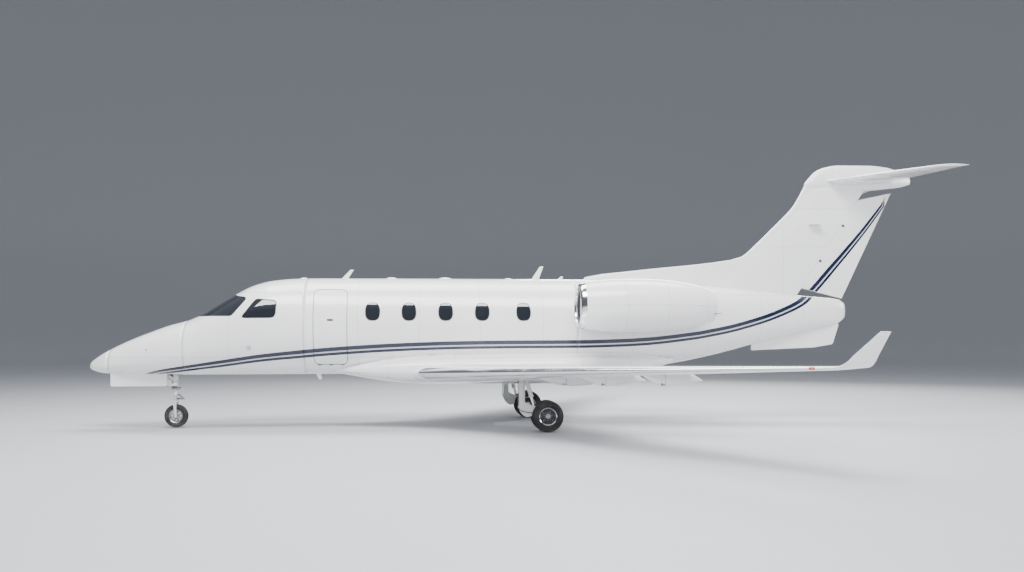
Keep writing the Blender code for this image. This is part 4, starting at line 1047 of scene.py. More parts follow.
# %% [markdown]
# ## Fin, rudder and tailplane
# The fin grows out of a long low fillet on the back of the fuselage. Its sections are drawn level, one above
# the other, and the rudder hangs behind it on a leaning hinge with the end of the stripe on its side.

# %% Fin and rudder
HINGE = (13.460, 2.607, 0.6660)
FIN_TRAILING = (14.610, 3.092, 0.4860)
FIN_SHOULDER = (12.490, 3.430, 1.0130)
FIN_LEADING = [(2.30, 8.90), (2.80, 9.12), (2.95, 10.20), (3.076, 11.40), (3.16, 12.00), (3.235, 12.25),
               (3.43, 12.486), (3.78, 12.85), (4.18, 13.25), (4.29, 13.33), (4.68, 13.545)]
RUDDER_BOTTOM = ((13.40, 2.635), (14.40, 2.390))
RUDDER_TOP = ((14.50, 4.340), (15.50, 4.560))
RUDDER_NOSE, FIN_EDGE = 0.059, 0.004
FIN_CAP = [
    (13.52, 4.690, 4.610, 0.030, 4.650), (13.60, 4.780, 4.580, 0.055, 4.680), (13.73, 4.915, 4.560, 0.080, 4.730),
    (13.92, 5.000, 4.550, 0.110, 4.740), (14.20, 5.048, 4.545, 0.135, 4.740), (14.80, 5.055, 4.560, 0.140, 4.740),
    (15.20, 5.025, 4.600, 0.125, 4.745), (15.50, 4.930, 4.640, 0.085, 4.750), (15.70, 4.820, 4.700, 0.020, 4.760),
]


def on_line(line, height):
    return line[0] + line[2] * (height - line[1])


def fin_ring(height):
    leading = float(blend(FIN_LEADING, height)[0])
    shoulder = max(on_line(FIN_SHOULDER, height), leading + 0.06)
    hinge, trailing = on_line(HINGE, height), on_line(FIN_TRAILING, height)
    body = [(shoulder, 0.040), (shoulder + 0.35 * (hinge - shoulder), 0.090), (hinge, RUDDER_NOSE + 0.001),
            (trailing, FIN_EDGE)]
    half = [(leading + (shoulder - leading) * t * t, 0.040 * sqrt(t * (2 - t))) for t in steps_between(0, 1, 0.1)]
    half += [(s, float(blend(body, s)[0])) for s in steps_between(shoulder, trailing, (trailing - shoulder) / 30)[1:]]
    return [(x_of(s), w, height) for s, w in half] + [(x_of(s), -w, height) for s, w in reversed(half[1:])]


def crossing(start, direction, line):
    (a, b), (c, d) = line
    along, offset = Vector((c - a, d - b)), Vector((a, b)) - start
    return start + direction * ((offset.x * along.y - offset.y * along.x)
                                / (direction.x * along.y - direction.y * along.x))


def rudder_ring(t):
    """A section of the rudder, t of the way from its lower end to its upper one."""
    line = [tuple(Vector(a).lerp(Vector(b), t)) for a, b in zip(RUDDER_BOTTOM, RUDDER_TOP)]
    up = Vector((HINGE[2], 1.0)).normalized()
    aft = Vector((up.y, -up.x))
    trailing = crossing(Vector(FIN_TRAILING[:2]), Vector((FIN_TRAILING[2], 1.0)), line)
    ring = []
    for a in (radians(90 + 7.5 * i) for i in range(25)):
        point = crossing(Vector(HINGE[:2]) + aft * RUDDER_NOSE * cos(a), up, line)
        ring.append((point.x, RUDDER_NOSE * sin(a), point.y))
    first = Vector((ring[0][0], ring[0][2]))
    right = [(*first.lerp(trailing, s), RUDDER_NOSE + (FIN_EDGE - RUDDER_NOSE) * s)
             for s in steps_between(0, 1, 0.08)[1:]]
    ring += [(x, -w, z) for x, z, w in right] + [(x, w, z) for x, z, w in reversed(right)]
    return [(x_of(s), w, z) for s, w, z in ring]


def cap(name, inset=0.0):
    return loft(name, [section(s, blend(FIN_CAP, s), inset, 2.0, 48) for s in steps_between(13.52, 15.70, 0.05)])


make_paint("fin_paint", rings=(x_of(13.05),), levels=(3.43, 4.18), stripe=True)
heights = sorted(set(steps_between(2.45, 4.66, 0.06) + [row[0] for row in FIN_LEADING if row[0] > 2.45]))
whole = loft("fin_whole", [fin_ring(h) for h in heights])
fin = copy_of(whole, "fin_skin")
low, high = ((x_of(on_line(HINGE, h)), 0, h) for h in (2.2, 4.9))
carve(fin, hinged_region("rudder_cove", low, high, (RUDDER_NOSE + RUN,) * 2, round_nose, 2.5, 0.6))
carve(fin, cap("cap_room", -0.0005))
polish(fin, whole)
lay_stripe(fin)
dress(fin, "fin_paint", stands_for=("fin",))
RUDDER_BRACKETS = (3.15, 3.85)
rudder = loft("rudder_skin", [rudder_ring(t) for t in steps_between(0, 1, 0.03)])
lay_stripe(rudder)
make_paint("rudder_paint", stripe=True)
for number, height in enumerate(RUDDER_BRACKETS, start=1):
    centre = Vector((x_of(on_line(HINGE, height)), 0, height))
    up = Vector((HINGE[2], 0, 1)).normalized()
    place, _ = hinge_frame(centre, centre + up)
    arm = slab("arm", place, [(-0.12, -0.014), (0.014, -0.014), (0.014, 0.014), (-0.12, 0.014)], 0.018)
    pin = rod("pin", centre - up * 0.045, centre + up * 0.045, 0.008)
    dress(welded(f"rudder_bracket_{number}", [arm, pin]), "steel")
    carve(rudder, slab("notch", place, [(-0.10, -0.09), (0.028, -0.09), (0.028, 0.09), (-0.10, 0.09)], 0.024))
dress(rudder, "rudder_paint", "rudder", ("rudder",))

# %% Tailplane and ventral fin
VENTRAL_FIN = [(12.43, 1.70), (12.43, 1.395), (13.70, 1.450), (14.09, 1.515), (14.215, 1.90), (14.10, 2.05)]
make_paint("cap_paint", rings=(x_of(14.05), x_of(15.25)))
cap_skin = cap("fin_cap_skin")
dress(cap_skin, "cap_paint", stands_for=("fin_cap",))
rings = [wing_ring(row, -1) for row in reversed(fine_rows(TAILPLANE))]
rings += [wing_ring(row, 1) for row in fine_rows(TAILPLANE)[1:]]
whole = loft("tailplane_whole", rings)
plane = copy_of(whole, "tailplane_skin")
for tag, side in SIDES.items():
    hung("elevator", plane, whole, TAILPLANE, side, ELEVATOR, "tail_paint")
polish(plane, whole)
lay_chord(plane, TAILPLANE)
dress(plane, "tail_paint", stands_for=("tailplane",))
ventral = side_prism("ventral_fin_skin", rounded(VENTRAL_FIN, 0.03), -0.025, 0.025)
dress(soften(ventral, 0.008, 3), "white_paint", stands_for=("ventral_fin",))
print("tail faces:", [len(t.data.polygons) for t in (fin, rudder, cap_skin, plane, ventral)])

# %% [markdown]
# ## Engines
# Each engine hangs on a short pylon. From the front: a polished lip, a grey inlet duct, the fan with its
# twisted blades and pointed spinner; from behind: a lobed mixer and a burnt metal cone inside the nozzle.
# Each blade is thin and twisted from root to tip, with a bowed front face and a flat back.

# %% Engine finishes
ENGINE_Y, ENGINE_Z = 1.40, 2.215
BLADES, BLADE_TWIST = 22, (28, 62)          # degrees from the axis at root and tip
FAN_STATION, FAN_RADII = 9.205, (0.105, 0.324)
VANES, LOBES = 30, 14
PYLON = ((0.45, 9.30, 11.15, 2.26, 0.085, 0), (1.15, 9.42, 10.95, 2.26, 0.085, 0))
LIP = [(8.840, 0.3285), (8.790, 0.3260), (8.752, 0.3310), (8.735, 0.3450), (8.747, 0.3720), (8.780, 0.3960),
       (8.840, 0.4130)]
COWL = [(8.8403, 0.4130), (9.020, 0.4400), (9.240, 0.4650), (9.550, 0.4820), (10.000, 0.4820), (10.400, 0.4560),
        (10.800, 0.3950), (11.060, 0.3240), (11.195, 0.2750)]
brushed("fan_metal", (0.50, 0.51, 0.53), 0.30, 0.08, (60.0, 8.0, 8.0))
brushed("duct_liner", (0.30, 0.31, 0.32), 0.42, 0.06, (60.0, 60.0, 60.0), 14.0, metallic=0.4)
burnt = finish("burnt_metal", (0.16, 0.14, 0.13), metallic=0.9, roughness=0.5)
x, y, z, vector = burnt.place()
heat = burnt.noise(burnt.stretch(vector, (2.0, 6.0, 6.0)), 2.2, 5.0)
blue = burnt.mix(heat.ramp(0.35, 0.62), (0.30, 0.23, 0.17), (0.13, 0.13, 0.17))
burnt.paint(base_color=burnt.mix(heat.ramp(0.55, 0.8), blue, (0.05, 0.05, 0.05)), roughness=heat * 0.3 + 0.3)
burnt.bump(burnt.noise(vector, 90.0, 3.0) * 0.0004, 1.0, 0.5)


def stationed(profile):
    return [(x_of(s), r) for s, r in profile]


def fan_wheel(name, centre, turn):
    """Twisted blades on a hub; turn is 1 or -1, for fans that are mirror images."""
    root, tip = FAN_RADII
    things = []
    for around in turns(BLADES):
        rings = []
        for radius in steps_between(root, tip, 0.02):
            share = (radius - root) / (tip - root)
            angle = radians(BLADE_TWIST[0] + (BLADE_TWIST[1] - BLADE_TWIST[0]) * share)
            half, thick = 0.030 + 0.020 * share, 0.0035 - 0.0022 * share
            sweep = 0.03 * share * share
            ring = []
            for u in steps_between(-1, 1, 0.25):
                bow = (thick + 0.006) * (1 - u * u)
                along = half * u * cos(angle) + sweep - bow * sin(angle)
                across = half * u * sin(angle) + bow * cos(angle)
                a = around + turn * across / radius
                ring.append(Vector((x_of(FAN_STATION) + along, centre.y + radius * cos(a),
                                    centre.z + radius * sin(a))))
            rings.append(ring)
        things.append(loft("blade", rings))
    hub = [(9.165, 0.02), (9.165, 0.108), (9.25, 0.112), (9.28, 0.09), (9.28, 0.02)]
    things.append(turned("hub", stationed(hub), centre))
    return welded(name, things)


make_paint("cowl_paint", rings=[x_of(s) for s in (9.55, 10.28, 11.02)], levels=(ENGINE_Z,))
for tag, side in SIDES.items():
    centre = Vector((0, side * ENGINE_Y, ENGINE_Z))
    lip = hoop(f"lip_ring_{tag}", stationed(smooth_line(LIP, 5)), centre)
    dress(lip, "polished_metal", stands_for=(f"inlet_lip_{tag}",), degrees=60)
    back = [(11.195, 0.2650), (10.900, 0.3350), (9.600, 0.4200), (9.3203, 0.4200), (9.3203, 0.3500), (8.8403, 0.3285)]
    cowl = hoop(f"cowl_skin_{tag}", stationed(smooth_line(COWL, 6) + back), centre)
    dress(cowl, "cowl_paint", stands_for=(f"cowl_{tag}",), degrees=30)
    duct = [(8.872, 0.3285), (9.05, 0.330), (9.16, 0.3400), (9.315, 0.3480), (9.315, 0.3440), (9.16, 0.3362),
            (9.05, 0.3262), (8.872, 0.3247)]
    dress(hoop(f"inlet_duct_{tag}", stationed(duct), centre), "duct_liner")
    wheel = fan_wheel(f"fan_blades_{tag}", centre, side)
    dress(wheel, "fan_metal", f"fan_{tag}", (f"fan_{tag}",))
    cone = smooth_line([(9.000, 0.001), (9.010, 0.022), (9.060, 0.066), (9.120, 0.095), (9.166, 0.1085)], 5)
    dress(turned(f"fan_spinner_{tag}", stationed(cone), centre), "polished_metal", f"fan_{tag}")
    mark = []
    for t in steps_between(0, 1, 0.05):
        radius = 0.030 + 0.072 * t ** 0.8
        mark.append(centre + Vector((x_of(9.018 + 0.14 * t), radius * cos(5 * t), radius * sin(5 * t))))
    dress(tube(f"spinner_mark_{tag}", mark, 0.004, 0.008), "white_paint", f"fan_{tag}")
    vanes, form = [], ((9.286, 0.004), (9.300, 0.007), (9.318, 0.0), (9.300, 0.003))
    for a in turns(VANES):
        out, across = Vector((0, cos(a), sin(a))), Vector((0, -sin(a), cos(a)))
        vanes.append(loft("vane", [[centre + out * r + across * w + Vector((x_of(s), 0, 0)) for s, w in form]
                                   for r in (0.11, 0.345)]))
    vanes.append(turned("plate", stationed([(9.3185, 0.01), (9.3185, 0.347), (9.3202, 0.347), (9.3202, 0.01)]), centre))
    dress(welded(f"stator_{tag}", vanes), "duct_liner")
    core = [(10.05, 0.388), (10.30, 0.378), (10.90, 0.3290), (11.190, 0.2635), (11.190, 0.2595), (10.90, 0.3240),
            (10.30, 0.372), (10.05, 0.382)]
    dress(hoop(f"nozzle_liner_{tag}", stationed(core), centre), "burnt_metal")
    rings = []
    for s, r, lobe in ((9.70, 0.33, 0.0), (10.20, 0.31, 0.0), (10.55, 0.275, 0.012), (10.80, 0.245, 0.030),
                       (10.80, 0.238, 0.030), (10.55, 0.268, 0.012), (10.20, 0.303, 0.0)):
        rings.append([centre + Vector((x_of(s), 0, 0)) + Vector((0, cos(a), sin(a))) * (r + lobe * cos(LOBES * a))
                      for a in turns(12 * LOBES)])
    dress(loft(f"mixer_{tag}", rings), "burnt_metal", stands_for=(f"engine_core_{tag}",))
    plug = smooth_line([(10.20, 0.17), (10.60, 0.165), (10.85, 0.120), (11.05, 0.055), (11.15, 0.004)], 5)
    dress(turned(f"exhaust_cone_{tag}", stationed(plug), centre), "burnt_metal")
    near, far = (np.array(row) for row in PYLON)
    pylon = loft(f"pylon_skin_{tag}", [wing_ring(tuple(near + t * (far - near)), side)
                                       for t in steps_between(0, 1, 0.1)])
    carve(pylon, turned("room", stationed([(8.86, 0.002), *smooth_line(COWL, 6), (11.29, 0.002)]), centre))
    dress(pylon, "white_paint", stands_for=(f"pylon_{tag}",), degrees=30)
    mast = [(11.12, -0.150), (11.20, -0.136), (11.275, -0.132)]
    mast = [centre + Vector((x_of(s), side * 0.255, z)) for s, z in mast]
    dress(tube(f"drain_mast_{tag}", mast, 0.010, 0.006), "steel")
print("engines:", BLADES, "blades,", VANES, "vanes and", LOBES, "lobes each")

# %% [markdown]
# ## Landing gear
# The nose wheel steers: strut, chrome slider, fork and torque link turn together below the white leg. Each
# main leg has a trailing arm with twin wheels and a slanting shock absorber. Tyres get grooved treads and
# moulded side walls; the wheels get flanged rims, webs with holes and bright hub caps.

# %% Wheels and tyres
NOSE_STATION, NOSE_RADIUS, NOSE_WIDTH, NOSE_RIM = 1.515, 0.212, 0.112, 0.120
MAIN_STATION, MAIN_Y, MAIN_RADIUS, MAIN_WIDTH, MAIN_RIM = 8.184, 1.427, 0.275, 0.146, 0.152
TWIN_OFFSET, AXLE = 0.118, 0.0235
tyre_look = finish("tyre_rubber", (0.020, 0.020, 0.021), roughness=0.75)
x, y, z, vector = tyre_look.place()
grime = tyre_look.noise(vector, 9.0, 5.0).ramp(0.40, 0.72)
low_down = z.ramp(0.10, 0.0)
tyre_look.paint(base_color=tyre_look.mix((grime * 0.5 + low_down * 0.4).at_most(0.8), (0.016, 0.016, 0.017),
                                         (0.085, 0.080, 0.074)), roughness=grime * 0.2 + 0.65)
tyre_look.bump(tyre_look.noise(vector, 220.0, 3.0) * 0.0003, 1.0, 0.6)
brushed("dark_metal", (0.085, 0.087, 0.092), 0.42, metallic=0.7)
make_paint("leg_paint", base=(0.58, 0.59, 0.56))
hose_look = finish("hose", (0.03, 0.03, 0.032), roughness=0.5)
x, y, z, vector = hose_look.place()
braid = ((x + y + z) * 420.0).sine() * ((x + y - z) * 420.0).sine()
hose_look.paint(base_color=hose_look.mix(braid.ramp(-0.5, 0.8), (0.02, 0.02, 0.021), (0.09, 0.09, 0.095)))
hose_look.bump(braid * 0.0006, 1.0, 0.6)


def tyre(name, centre, radius, width, rim, body, node):
    half, wall = width / 2, radius - rim
    wide = [(0.65, rim + 0.0015), (0.84, rim + 0.10 * wall), (0.96, rim + 0.30 * wall), (1.0, rim + 0.45 * wall),
            (0.985, rim + 0.60 * wall), (0.965, rim + 0.615 * wall), (0.95, radius - 0.028), (0.80, radius - 0.012)]
    profile = [(-half * a, r) for a, r in wide]
    for groove in (-0.52, -0.18, 0.18, 0.52):
        crown = radius - 0.012 * max(0.0, (abs(groove) - 0.4) / 0.4) ** 1.5
        for shift, depth in ((-0.0035, 0), (-0.0025, 0.006), (0.0025, 0.006), (0.0035, 0)):
            profile.append((half * groove + shift, crown - depth))
    profile += [(half * a, r) for a, r in reversed(wide)]
    return dress(hoop(name, profile, centre, "Y"), "tyre_rubber", body, (node,), degrees=50)


def rim_ring(radius, half):
    """A flanged rim as (distance along the axle, radius)."""
    out = [(half, radius - 0.001), (half + 0.010, radius + 0.006), (half + 0.013, radius + 0.005),
           (half + 0.002, radius - 0.010), (half - 0.004, radius - 0.015)]
    return [(-a, r) for a, r in reversed(out)] + out


def pierced(name, centre, low, high, radius, hole, ring, count, bore):
    """A web with a ring of round holes."""
    middle = (low + high) / 2
    web = hoop(name, [(low, bore), (low, ring * 0.5), (middle - 0.004, ring * 0.66), (low, radius), (high, radius),
                      (middle + 0.004, ring * 0.66), (high, ring * 0.5), (high, bore)], centre, "Y")
    for a in turns(count):
        spot = Vector(centre) + Vector((ring * cos(a), 0, ring * sin(a)))
        carve(web, rod("hole", spot + Vector((0, low - 0.05, 0)), spot + Vector((0, high + 0.05, 0)), hole))
    return web


def bolts(centre, along, ring, count, size, height):
    """A circle of bolt heads; the sign of height is the side that they stand out to."""
    heads = []
    for k in range(count):
        a = 2 * pi * (k + 0.5) / count
        spot = Vector(centre) + Vector((ring * cos(a), along, ring * sin(a)))
        heads.append(rod("bolt", spot, spot + Vector((0, height, 0)), size, sides=6))
    return heads


# %% Nose gear
nose_x = x_of(NOSE_STATION)
leg_x = nose_x - 0.015
hub = Vector((nose_x, 0, NOSE_RADIUS))
tyre("nose_tyre_tread", hub, NOSE_RADIUS, NOSE_WIDTH, NOSE_RIM, "nose_wheel", "nose_tyre")
nose_wheel = [hoop("ring", rim_ring(NOSE_RIM, 0.034), hub, "Y", 64)]
nose_wheel.append(pierced("web", hub, -0.012, 0.012, 0.112, 0.013, 0.078, 8, 0.0125))
for side in (-1, 1):
    cap = [(side * 0.010, 0.040), (side * 0.030, 0.036), (side * 0.046, 0.030), (side * 0.050, 0.024),
           (side * 0.050, 0.0125), (side * 0.010, 0.0125)]
    nose_wheel.append(hoop("hub", cap, hub, "Y", 48))
    nose_wheel += bolts(hub, side * 0.011, 0.054, 8, 0.005, side * 0.008)
dress(welded("nose_wheel_rim", nose_wheel), "wheel_metal", "nose_wheel", ("nose_rim",))

strut = [(0.6605, 0.046), (0.672, 0.055), (0.700, 0.055), (0.708, 0.050), (0.90, 0.050), (0.905, 0.055), (0.93, 0.055),
         (0.935, 0.050), (1.15, 0.050), (1.16, 0.058), (1.28, 0.058), (1.299, 0.048)]
leg = [turned("strut", strut, (leg_x, 0, 0), "Z", 48),
       block("lugs", (leg_x - 0.036, -0.1445, 1.182), (leg_x + 0.036, 0.1445, 1.258), 0.01)]
brace = Vector((leg_x - 0.45, 0, 1.265)), Vector((leg_x, 0, 0.86))
for shift in (-0.030, 0.030):
    leg.append(rod("brace", brace[0] + Vector((0, shift * 2.4, 0)), brace[1] + Vector((0, shift, 0)), 0.016))
leg.append(bar("cross", brace[0], 0.10, 0.018))
middle = brace[0].lerp(brace[1], 0.5)
leg.append(bar("lock", middle, 0.06, 0.011))
leg.append(rod("rear_stay", (leg_x + 0.03, 0, 0.672), (leg_x + 0.155, 0, 0.725), 0.012))
leg.append(rod("squat_switch", (leg_x - 0.105, 0, 0.676), (leg_x - 0.04, 0, 0.676), 0.006))
dress(welded("nose_leg_strut", leg), "leg_paint", stands_for=("nose_leg",), degrees=40)
dress(hoop("steering_collar", [(0.690, 0.051), (0.690, 0.060), (0.700, 0.066), (0.745, 0.066), (0.756, 0.060),
                               (0.756, 0.051)], (leg_x, 0, 0), "Z", 48), "steel")
for tag, side in SIDES.items():
    ends = [(leg_x + along, side * 0.078, 0.724) for along in (-0.055, 0.075)]
    dress(rod(f"steering_jack_{tag}", *ends, 0.016), "steel")

slider = turned("nose_slider", [(0.500, 0.020), (0.500, 0.027), (0.575, 0.027), (0.580, 0.036), (0.598, 0.044),
                                (0.630, 0.047), (0.6597, 0.047), (0.6597, 0.030)], (leg_x, 0, 0), "Z", 48)
dress(slider, "chrome", "nose_fork")
crown = [block("crown", (leg_x - 0.035, -0.092, 0.455), (leg_x + 0.0352, 0.092, 0.505), 0.012, 3)]
for side in (-1, 1):
    low, high = span(side, 0.066, 0.090)
    outline = rounded([(leg_x - 0.034, 0.480), (leg_x + 0.034, 0.480), (leg_x + 0.031, 0.34), (nose_x + 0.020, 0.26),
                       (nose_x + 0.022, 0.186), (nose_x - 0.022, 0.186), (nose_x - 0.017, 0.26), (leg_x - 0.014, 0.34)],
                      0.02)
    crown.append(soften(prism("blade", outline, "Y", low, high), 0.004, 2))
    crown.append(rod("nut", (nose_x, side * 0.088, NOSE_RADIUS), (nose_x, side * 0.0948, NOSE_RADIUS), 0.016, sides=6))
crown.append(bar("axle", hub, 0.094, 0.0118))
crown.append(bar("tow", (leg_x - 0.045, 0, 0.478), 0.030, 0.011))
dress(welded("nose_fork_blades", crown), "leg_paint", "nose_fork", ("nose_fork",))
links = {"upper": ([(0.012, 0.650), (0.008, 0.612), (0.150, 0.512), (0.168, 0.529)], 0.0155),
         "lower": ([(0.012, 0.546), (0.008, 0.513), (0.148, 0.5105), (0.1665, 0.5305)], 0.0185)}
arms = []
for label, (outline, half) in links.items():
    outline = [(leg_x + a, b) for a, b in outline]
    arms.append(soften(prism(label, outline, "Y", -half, half), 0.004, 2))
arms.append(bar("apex", (leg_x + 0.157, 0, 0.520), 0.026, 0.009))
dress(welded("torque_links", arms), "steel", "nose_fork")
taxi = turned("taxi_lamp", [(leg_x - 0.055, 0.020), (leg_x - 0.092, 0.042), (leg_x - 0.100, 0.044),
                            (leg_x - 0.104, 0.040), (leg_x - 0.104, 0.001)], (0, 0, 0.960), "X", 40)
dress(taxi, "dark_metal")
lamp_look = finish("lamp_lens", (0.62, 0.64, 0.66), roughness=0.08, coat_weight=1.0, coat_roughness=0.02)
x, y, z, vector = lamp_look.place()
flutes = (y * 620.0).sine()
lamp_look.paint(base_color=lamp_look.mix(flutes.ramp(-1, 1), (0.66, 0.68, 0.70), (0.42, 0.44, 0.47)))
lamp_look.bump(flutes * 0.0006, 1.0, 0.5)
lens = turned("taxi_lens", [(leg_x - 0.1042, 0.037), (leg_x - 0.110, 0.030), (leg_x - 0.113, 0.001)], (0, 0, 0.960),
              "X", 40)
dress(lens, "lamp_lens")

# %% Nose gear doors
for tag, side in SIDES.items():
    low, high = span(side, 0.1495, 0.1705)
    outline = rounded([(x_of(0.40), 0.7655), (x_of(1.385), 0.7655), (x_of(1.385), 1.10), (x_of(0.40), 1.10)], 0.03)
    door = prism(f"nose_door_panel_{tag}", outline, "Y", low, high)
    carve(door, hull("seat", 0.27, NOSE_END + 0.3, -0.0005, 0.03))
    soften(door, 0.003, 2, 60)
    dress(door, "white_paint", stands_for=(f"nose_door_{tag}",))
strut_door = rounded([(x_of(s), z) for s, z in ((1.394, 0.768), (1.530, 0.768), (1.548, 0.798), (1.525, 0.832),
                                                (1.455, 0.800), (1.394, 0.790))], 0.008, 3)
dress(soften(prism("strut_door", strut_door, "Y", -0.10, 0.10), 0.003, 2, 60), "white_paint")

print("nose gear pieces:", count_of("nose_", "strut_door", "taxi_", "torque_links", "steering_"))

# %% Main gear
# the hub cap as (distance out along the axle, radius), and the trailing arm's side view
HUB_CAP = [(0.004, 0.052), (0.030, 0.048), (0.040, 0.044), (0.0455, 0.036), (0.0465, 0.012), (0.0465, 0.001)]
ARM = [(7.690, 0.46), (7.715, 0.540), (7.80, 0.520), (7.91, 0.465), (8.04, 0.435), (8.13, 0.350), (8.215, 0.310),
       (8.222, 0.250), (8.165, 0.232), (8.02, 0.290), (7.92, 0.280), (7.83, 0.258), (7.765, 0.290), (7.700, 0.37)]
for tag, side in SIDES.items():
    y, x = side * MAIN_Y, x_of(MAIN_STATION)
    hub, wheel = Vector((x, y, MAIN_RADIUS)), f"main_wheel_{tag}"
    rings, webs, caps = [], [], []
    for label, offset in (("inner", -TWIN_OFFSET * side), ("outer", TWIN_OFFSET * side)):
        centre = hub + Vector((0, offset, 0))
        tyre(f"main_tread_{label}_{tag}", centre, MAIN_RADIUS, MAIN_WIDTH, MAIN_RIM, wheel, f"main_tyre_{label}_{tag}")
        rings.append(hoop("ring", rim_ring(MAIN_RIM, 0.0465), centre, "Y"))
        out = 1 if offset > 0 else -1
        low, high = span(out, 0.006, 0.022)
        webs.append(pierced("web", centre, low, high, MAIN_RIM - 0.009, 0.015, 0.102, 10, AXLE + 0.0005))
        caps.append(turned("cap", [(out * a, r) for a, r in HUB_CAP], centre, "Y", 64))
        caps += bolts(centre, out * 0.021, 0.070, 10, 0.006, out * 0.010)
    dress(welded(f"main_rims_{tag}", rings), "polished_metal", wheel, (f"main_rim_{tag}",))
    dress(welded(f"main_webs_{tag}", webs), "dark_metal", wheel)
    dress(welded(f"main_hub_caps_{tag}", caps), "wheel_metal", wheel)

    pivot = Vector((x_of(7.74), y, 0.44))
    post = turned("post", [(0.46, 0.050), (0.47, 0.058), (0.52, 0.058), (0.53, 0.055), (0.80, 0.055), (0.81, 0.062),
                           (0.86, 0.062), (0.87, 0.055), (1.10, 0.055)], (pivot.x, y, 0), "Z", 48)
    eye = soften(bar("eye", pivot, 0.07, 0.065, 48), 0.006, 2)
    casting = smooth_line([(x_of(s), z) for s, z in ARM], 5, closed=True)
    arm = soften(prism("arm", casting, "Y", y - 0.034, y + 0.034), 0.010, 3, 60)
    leg = [post, eye, arm, bar("axle", hub, 0.140, AXLE - 0.001), bar("pin", pivot, 0.082, 0.022)]
    foot, top = Vector((x_of(7.98), y, 0.36)), Vector((x_of(7.80), y, 0.98))
    leg.append(rod("barrel", foot.lerp(top, 0.42), top, 0.038, sides=40))
    leg.append(rod("gland", foot.lerp(top, 0.40), foot.lerp(top, 0.45), 0.043, sides=40))
    leg.append(bar("foot", foot + Vector((0, 0, 0.004)), 0.045, 0.030, 32))
    leg.append(rod("stay", (pivot.x, y - side * 0.05, 0.80), (pivot.x + 0.02, y - side * 0.42, 1.02), 0.022))
    leg = welded(f"main_leg_frame_{tag}", leg)
    dress(leg, "leg_paint", stands_for=(f"main_leg_{tag}",), degrees=40)
    dress(rod(f"shock_piston_{tag}", foot, foot.lerp(top, 0.44), 0.026, sides=40), "chrome")
    line = [(pivot.x - 0.062, y, 0.98), (pivot.x - 0.066, y, 0.72), (pivot.x - 0.072, y + side * 0.03, 0.50),
            (pivot.x - 0.02, y + side * 0.082, 0.375), (pivot.x + 0.18, y + side * 0.052, 0.33),
            (x - 0.09, y + side * 0.040, 0.285)]
    dress(tube(f"brake_hose_{tag}", smooth_line(line, 8), 0.0065, sides=10), "hose")
print("main gear pieces:", count_of("main_", "shock_", "brake_"))

# %% [markdown]
# ## Cabin and cockpit
# Through the windows one sees a pale lining, facing seats with tables between them, and in front of the two
# pilots' seats a panel with blank screens. Cushions get their shape from a short cloth simulation: a box of
# cloth is blown up a little without gravity, so that it crowns in the middle and stays low at its seams.

# %% Interior finishes
FLOOR_TOP = 1.20
leather = finish("seat_leather", (0.46, 0.40, 0.33), roughness=0.45, coat_weight=0.15, coat_roughness=0.4)
x, y, z, vector = leather.place()
cells = leather.node("ShaderNodeTexVoronoi", {}, {"Vector": vector, "Scale": 330.0})
worn = leather.noise(vector, 11.0, 4.0).ramp(0.42, 0.7)
leather.paint(base_color=leather.mix(worn, (0.46, 0.40, 0.33), (0.38, 0.325, 0.26)), roughness=worn * 0.12 + 0.38)
leather.bump(cells * 0.0005 + leather.noise(vector, 28.0, 4.0) * 0.0016, 1.0, 0.6)
trim = finish("cabin_trim", (0.58, 0.54, 0.48), roughness=0.7)
x, y, z, vector = trim.place()
weave = (x * 900.0).sine() * ((z + y) * 900.0).sine()
trim.paint(base_color=trim.mix(trim.noise(vector, 5.0, 4.0).ramp(0.35, 0.7), (0.58, 0.54, 0.48), (0.50, 0.465, 0.41)))
trim.bump(weave * 0.0003, 1.0, 0.5)
carpet = finish("cabin_carpet", (0.20, 0.185, 0.17), roughness=0.95)
x, y, z, vector = carpet.place()
tufts = carpet.noise(vector, 300.0, 2.0)
carpet.paint(base_color=carpet.mix(tufts.ramp(0.3, 0.7), (0.13, 0.12, 0.11), (0.26, 0.24, 0.22)))
carpet.bump(tufts * 0.004, 1.0, 0.8)
wood = finish("veneer", (0.23, 0.12, 0.06), roughness=0.2, coat_weight=0.8, coat_roughness=0.05)
x, y, z, vector = wood.place()
swirl = wood.noise(wood.stretch(vector, (3.0, 22.0, 22.0)), 1.6, 6.0)
wood.paint(base_color=wood.mix((swirl * 34.0).sine().ramp(-1, 1), (0.17, 0.085, 0.04), (0.31, 0.17, 0.085)))
wood.bump(swirl * 0.0004, 1.0, 0.3)
plastic = finish("panel_plastic", (0.030, 0.031, 0.034), roughness=0.6)
x, y, z, vector = plastic.place()
grain = plastic.noise(vector, 420.0, 2.0)
plastic.paint(base_color=plastic.mix(grain.ramp(0.4, 0.7), (0.026, 0.027, 0.030), (0.06, 0.06, 0.064)))
plastic.bump(grain * 0.0004, 1.0, 0.6)
screen = finish("blank_screen", (0.008, 0.009, 0.012), roughness=0.12, coat_weight=0.6, coat_roughness=0.05)
x, y, z, vector = screen.place()
smear = screen.noise(vector, 14.0, 4.0).ramp(0.45, 0.75)
screen.paint(base_color=screen.mix(smear, (0.008, 0.009, 0.012), (0.020, 0.022, 0.028)), roughness=smear * 0.2 + 0.10)

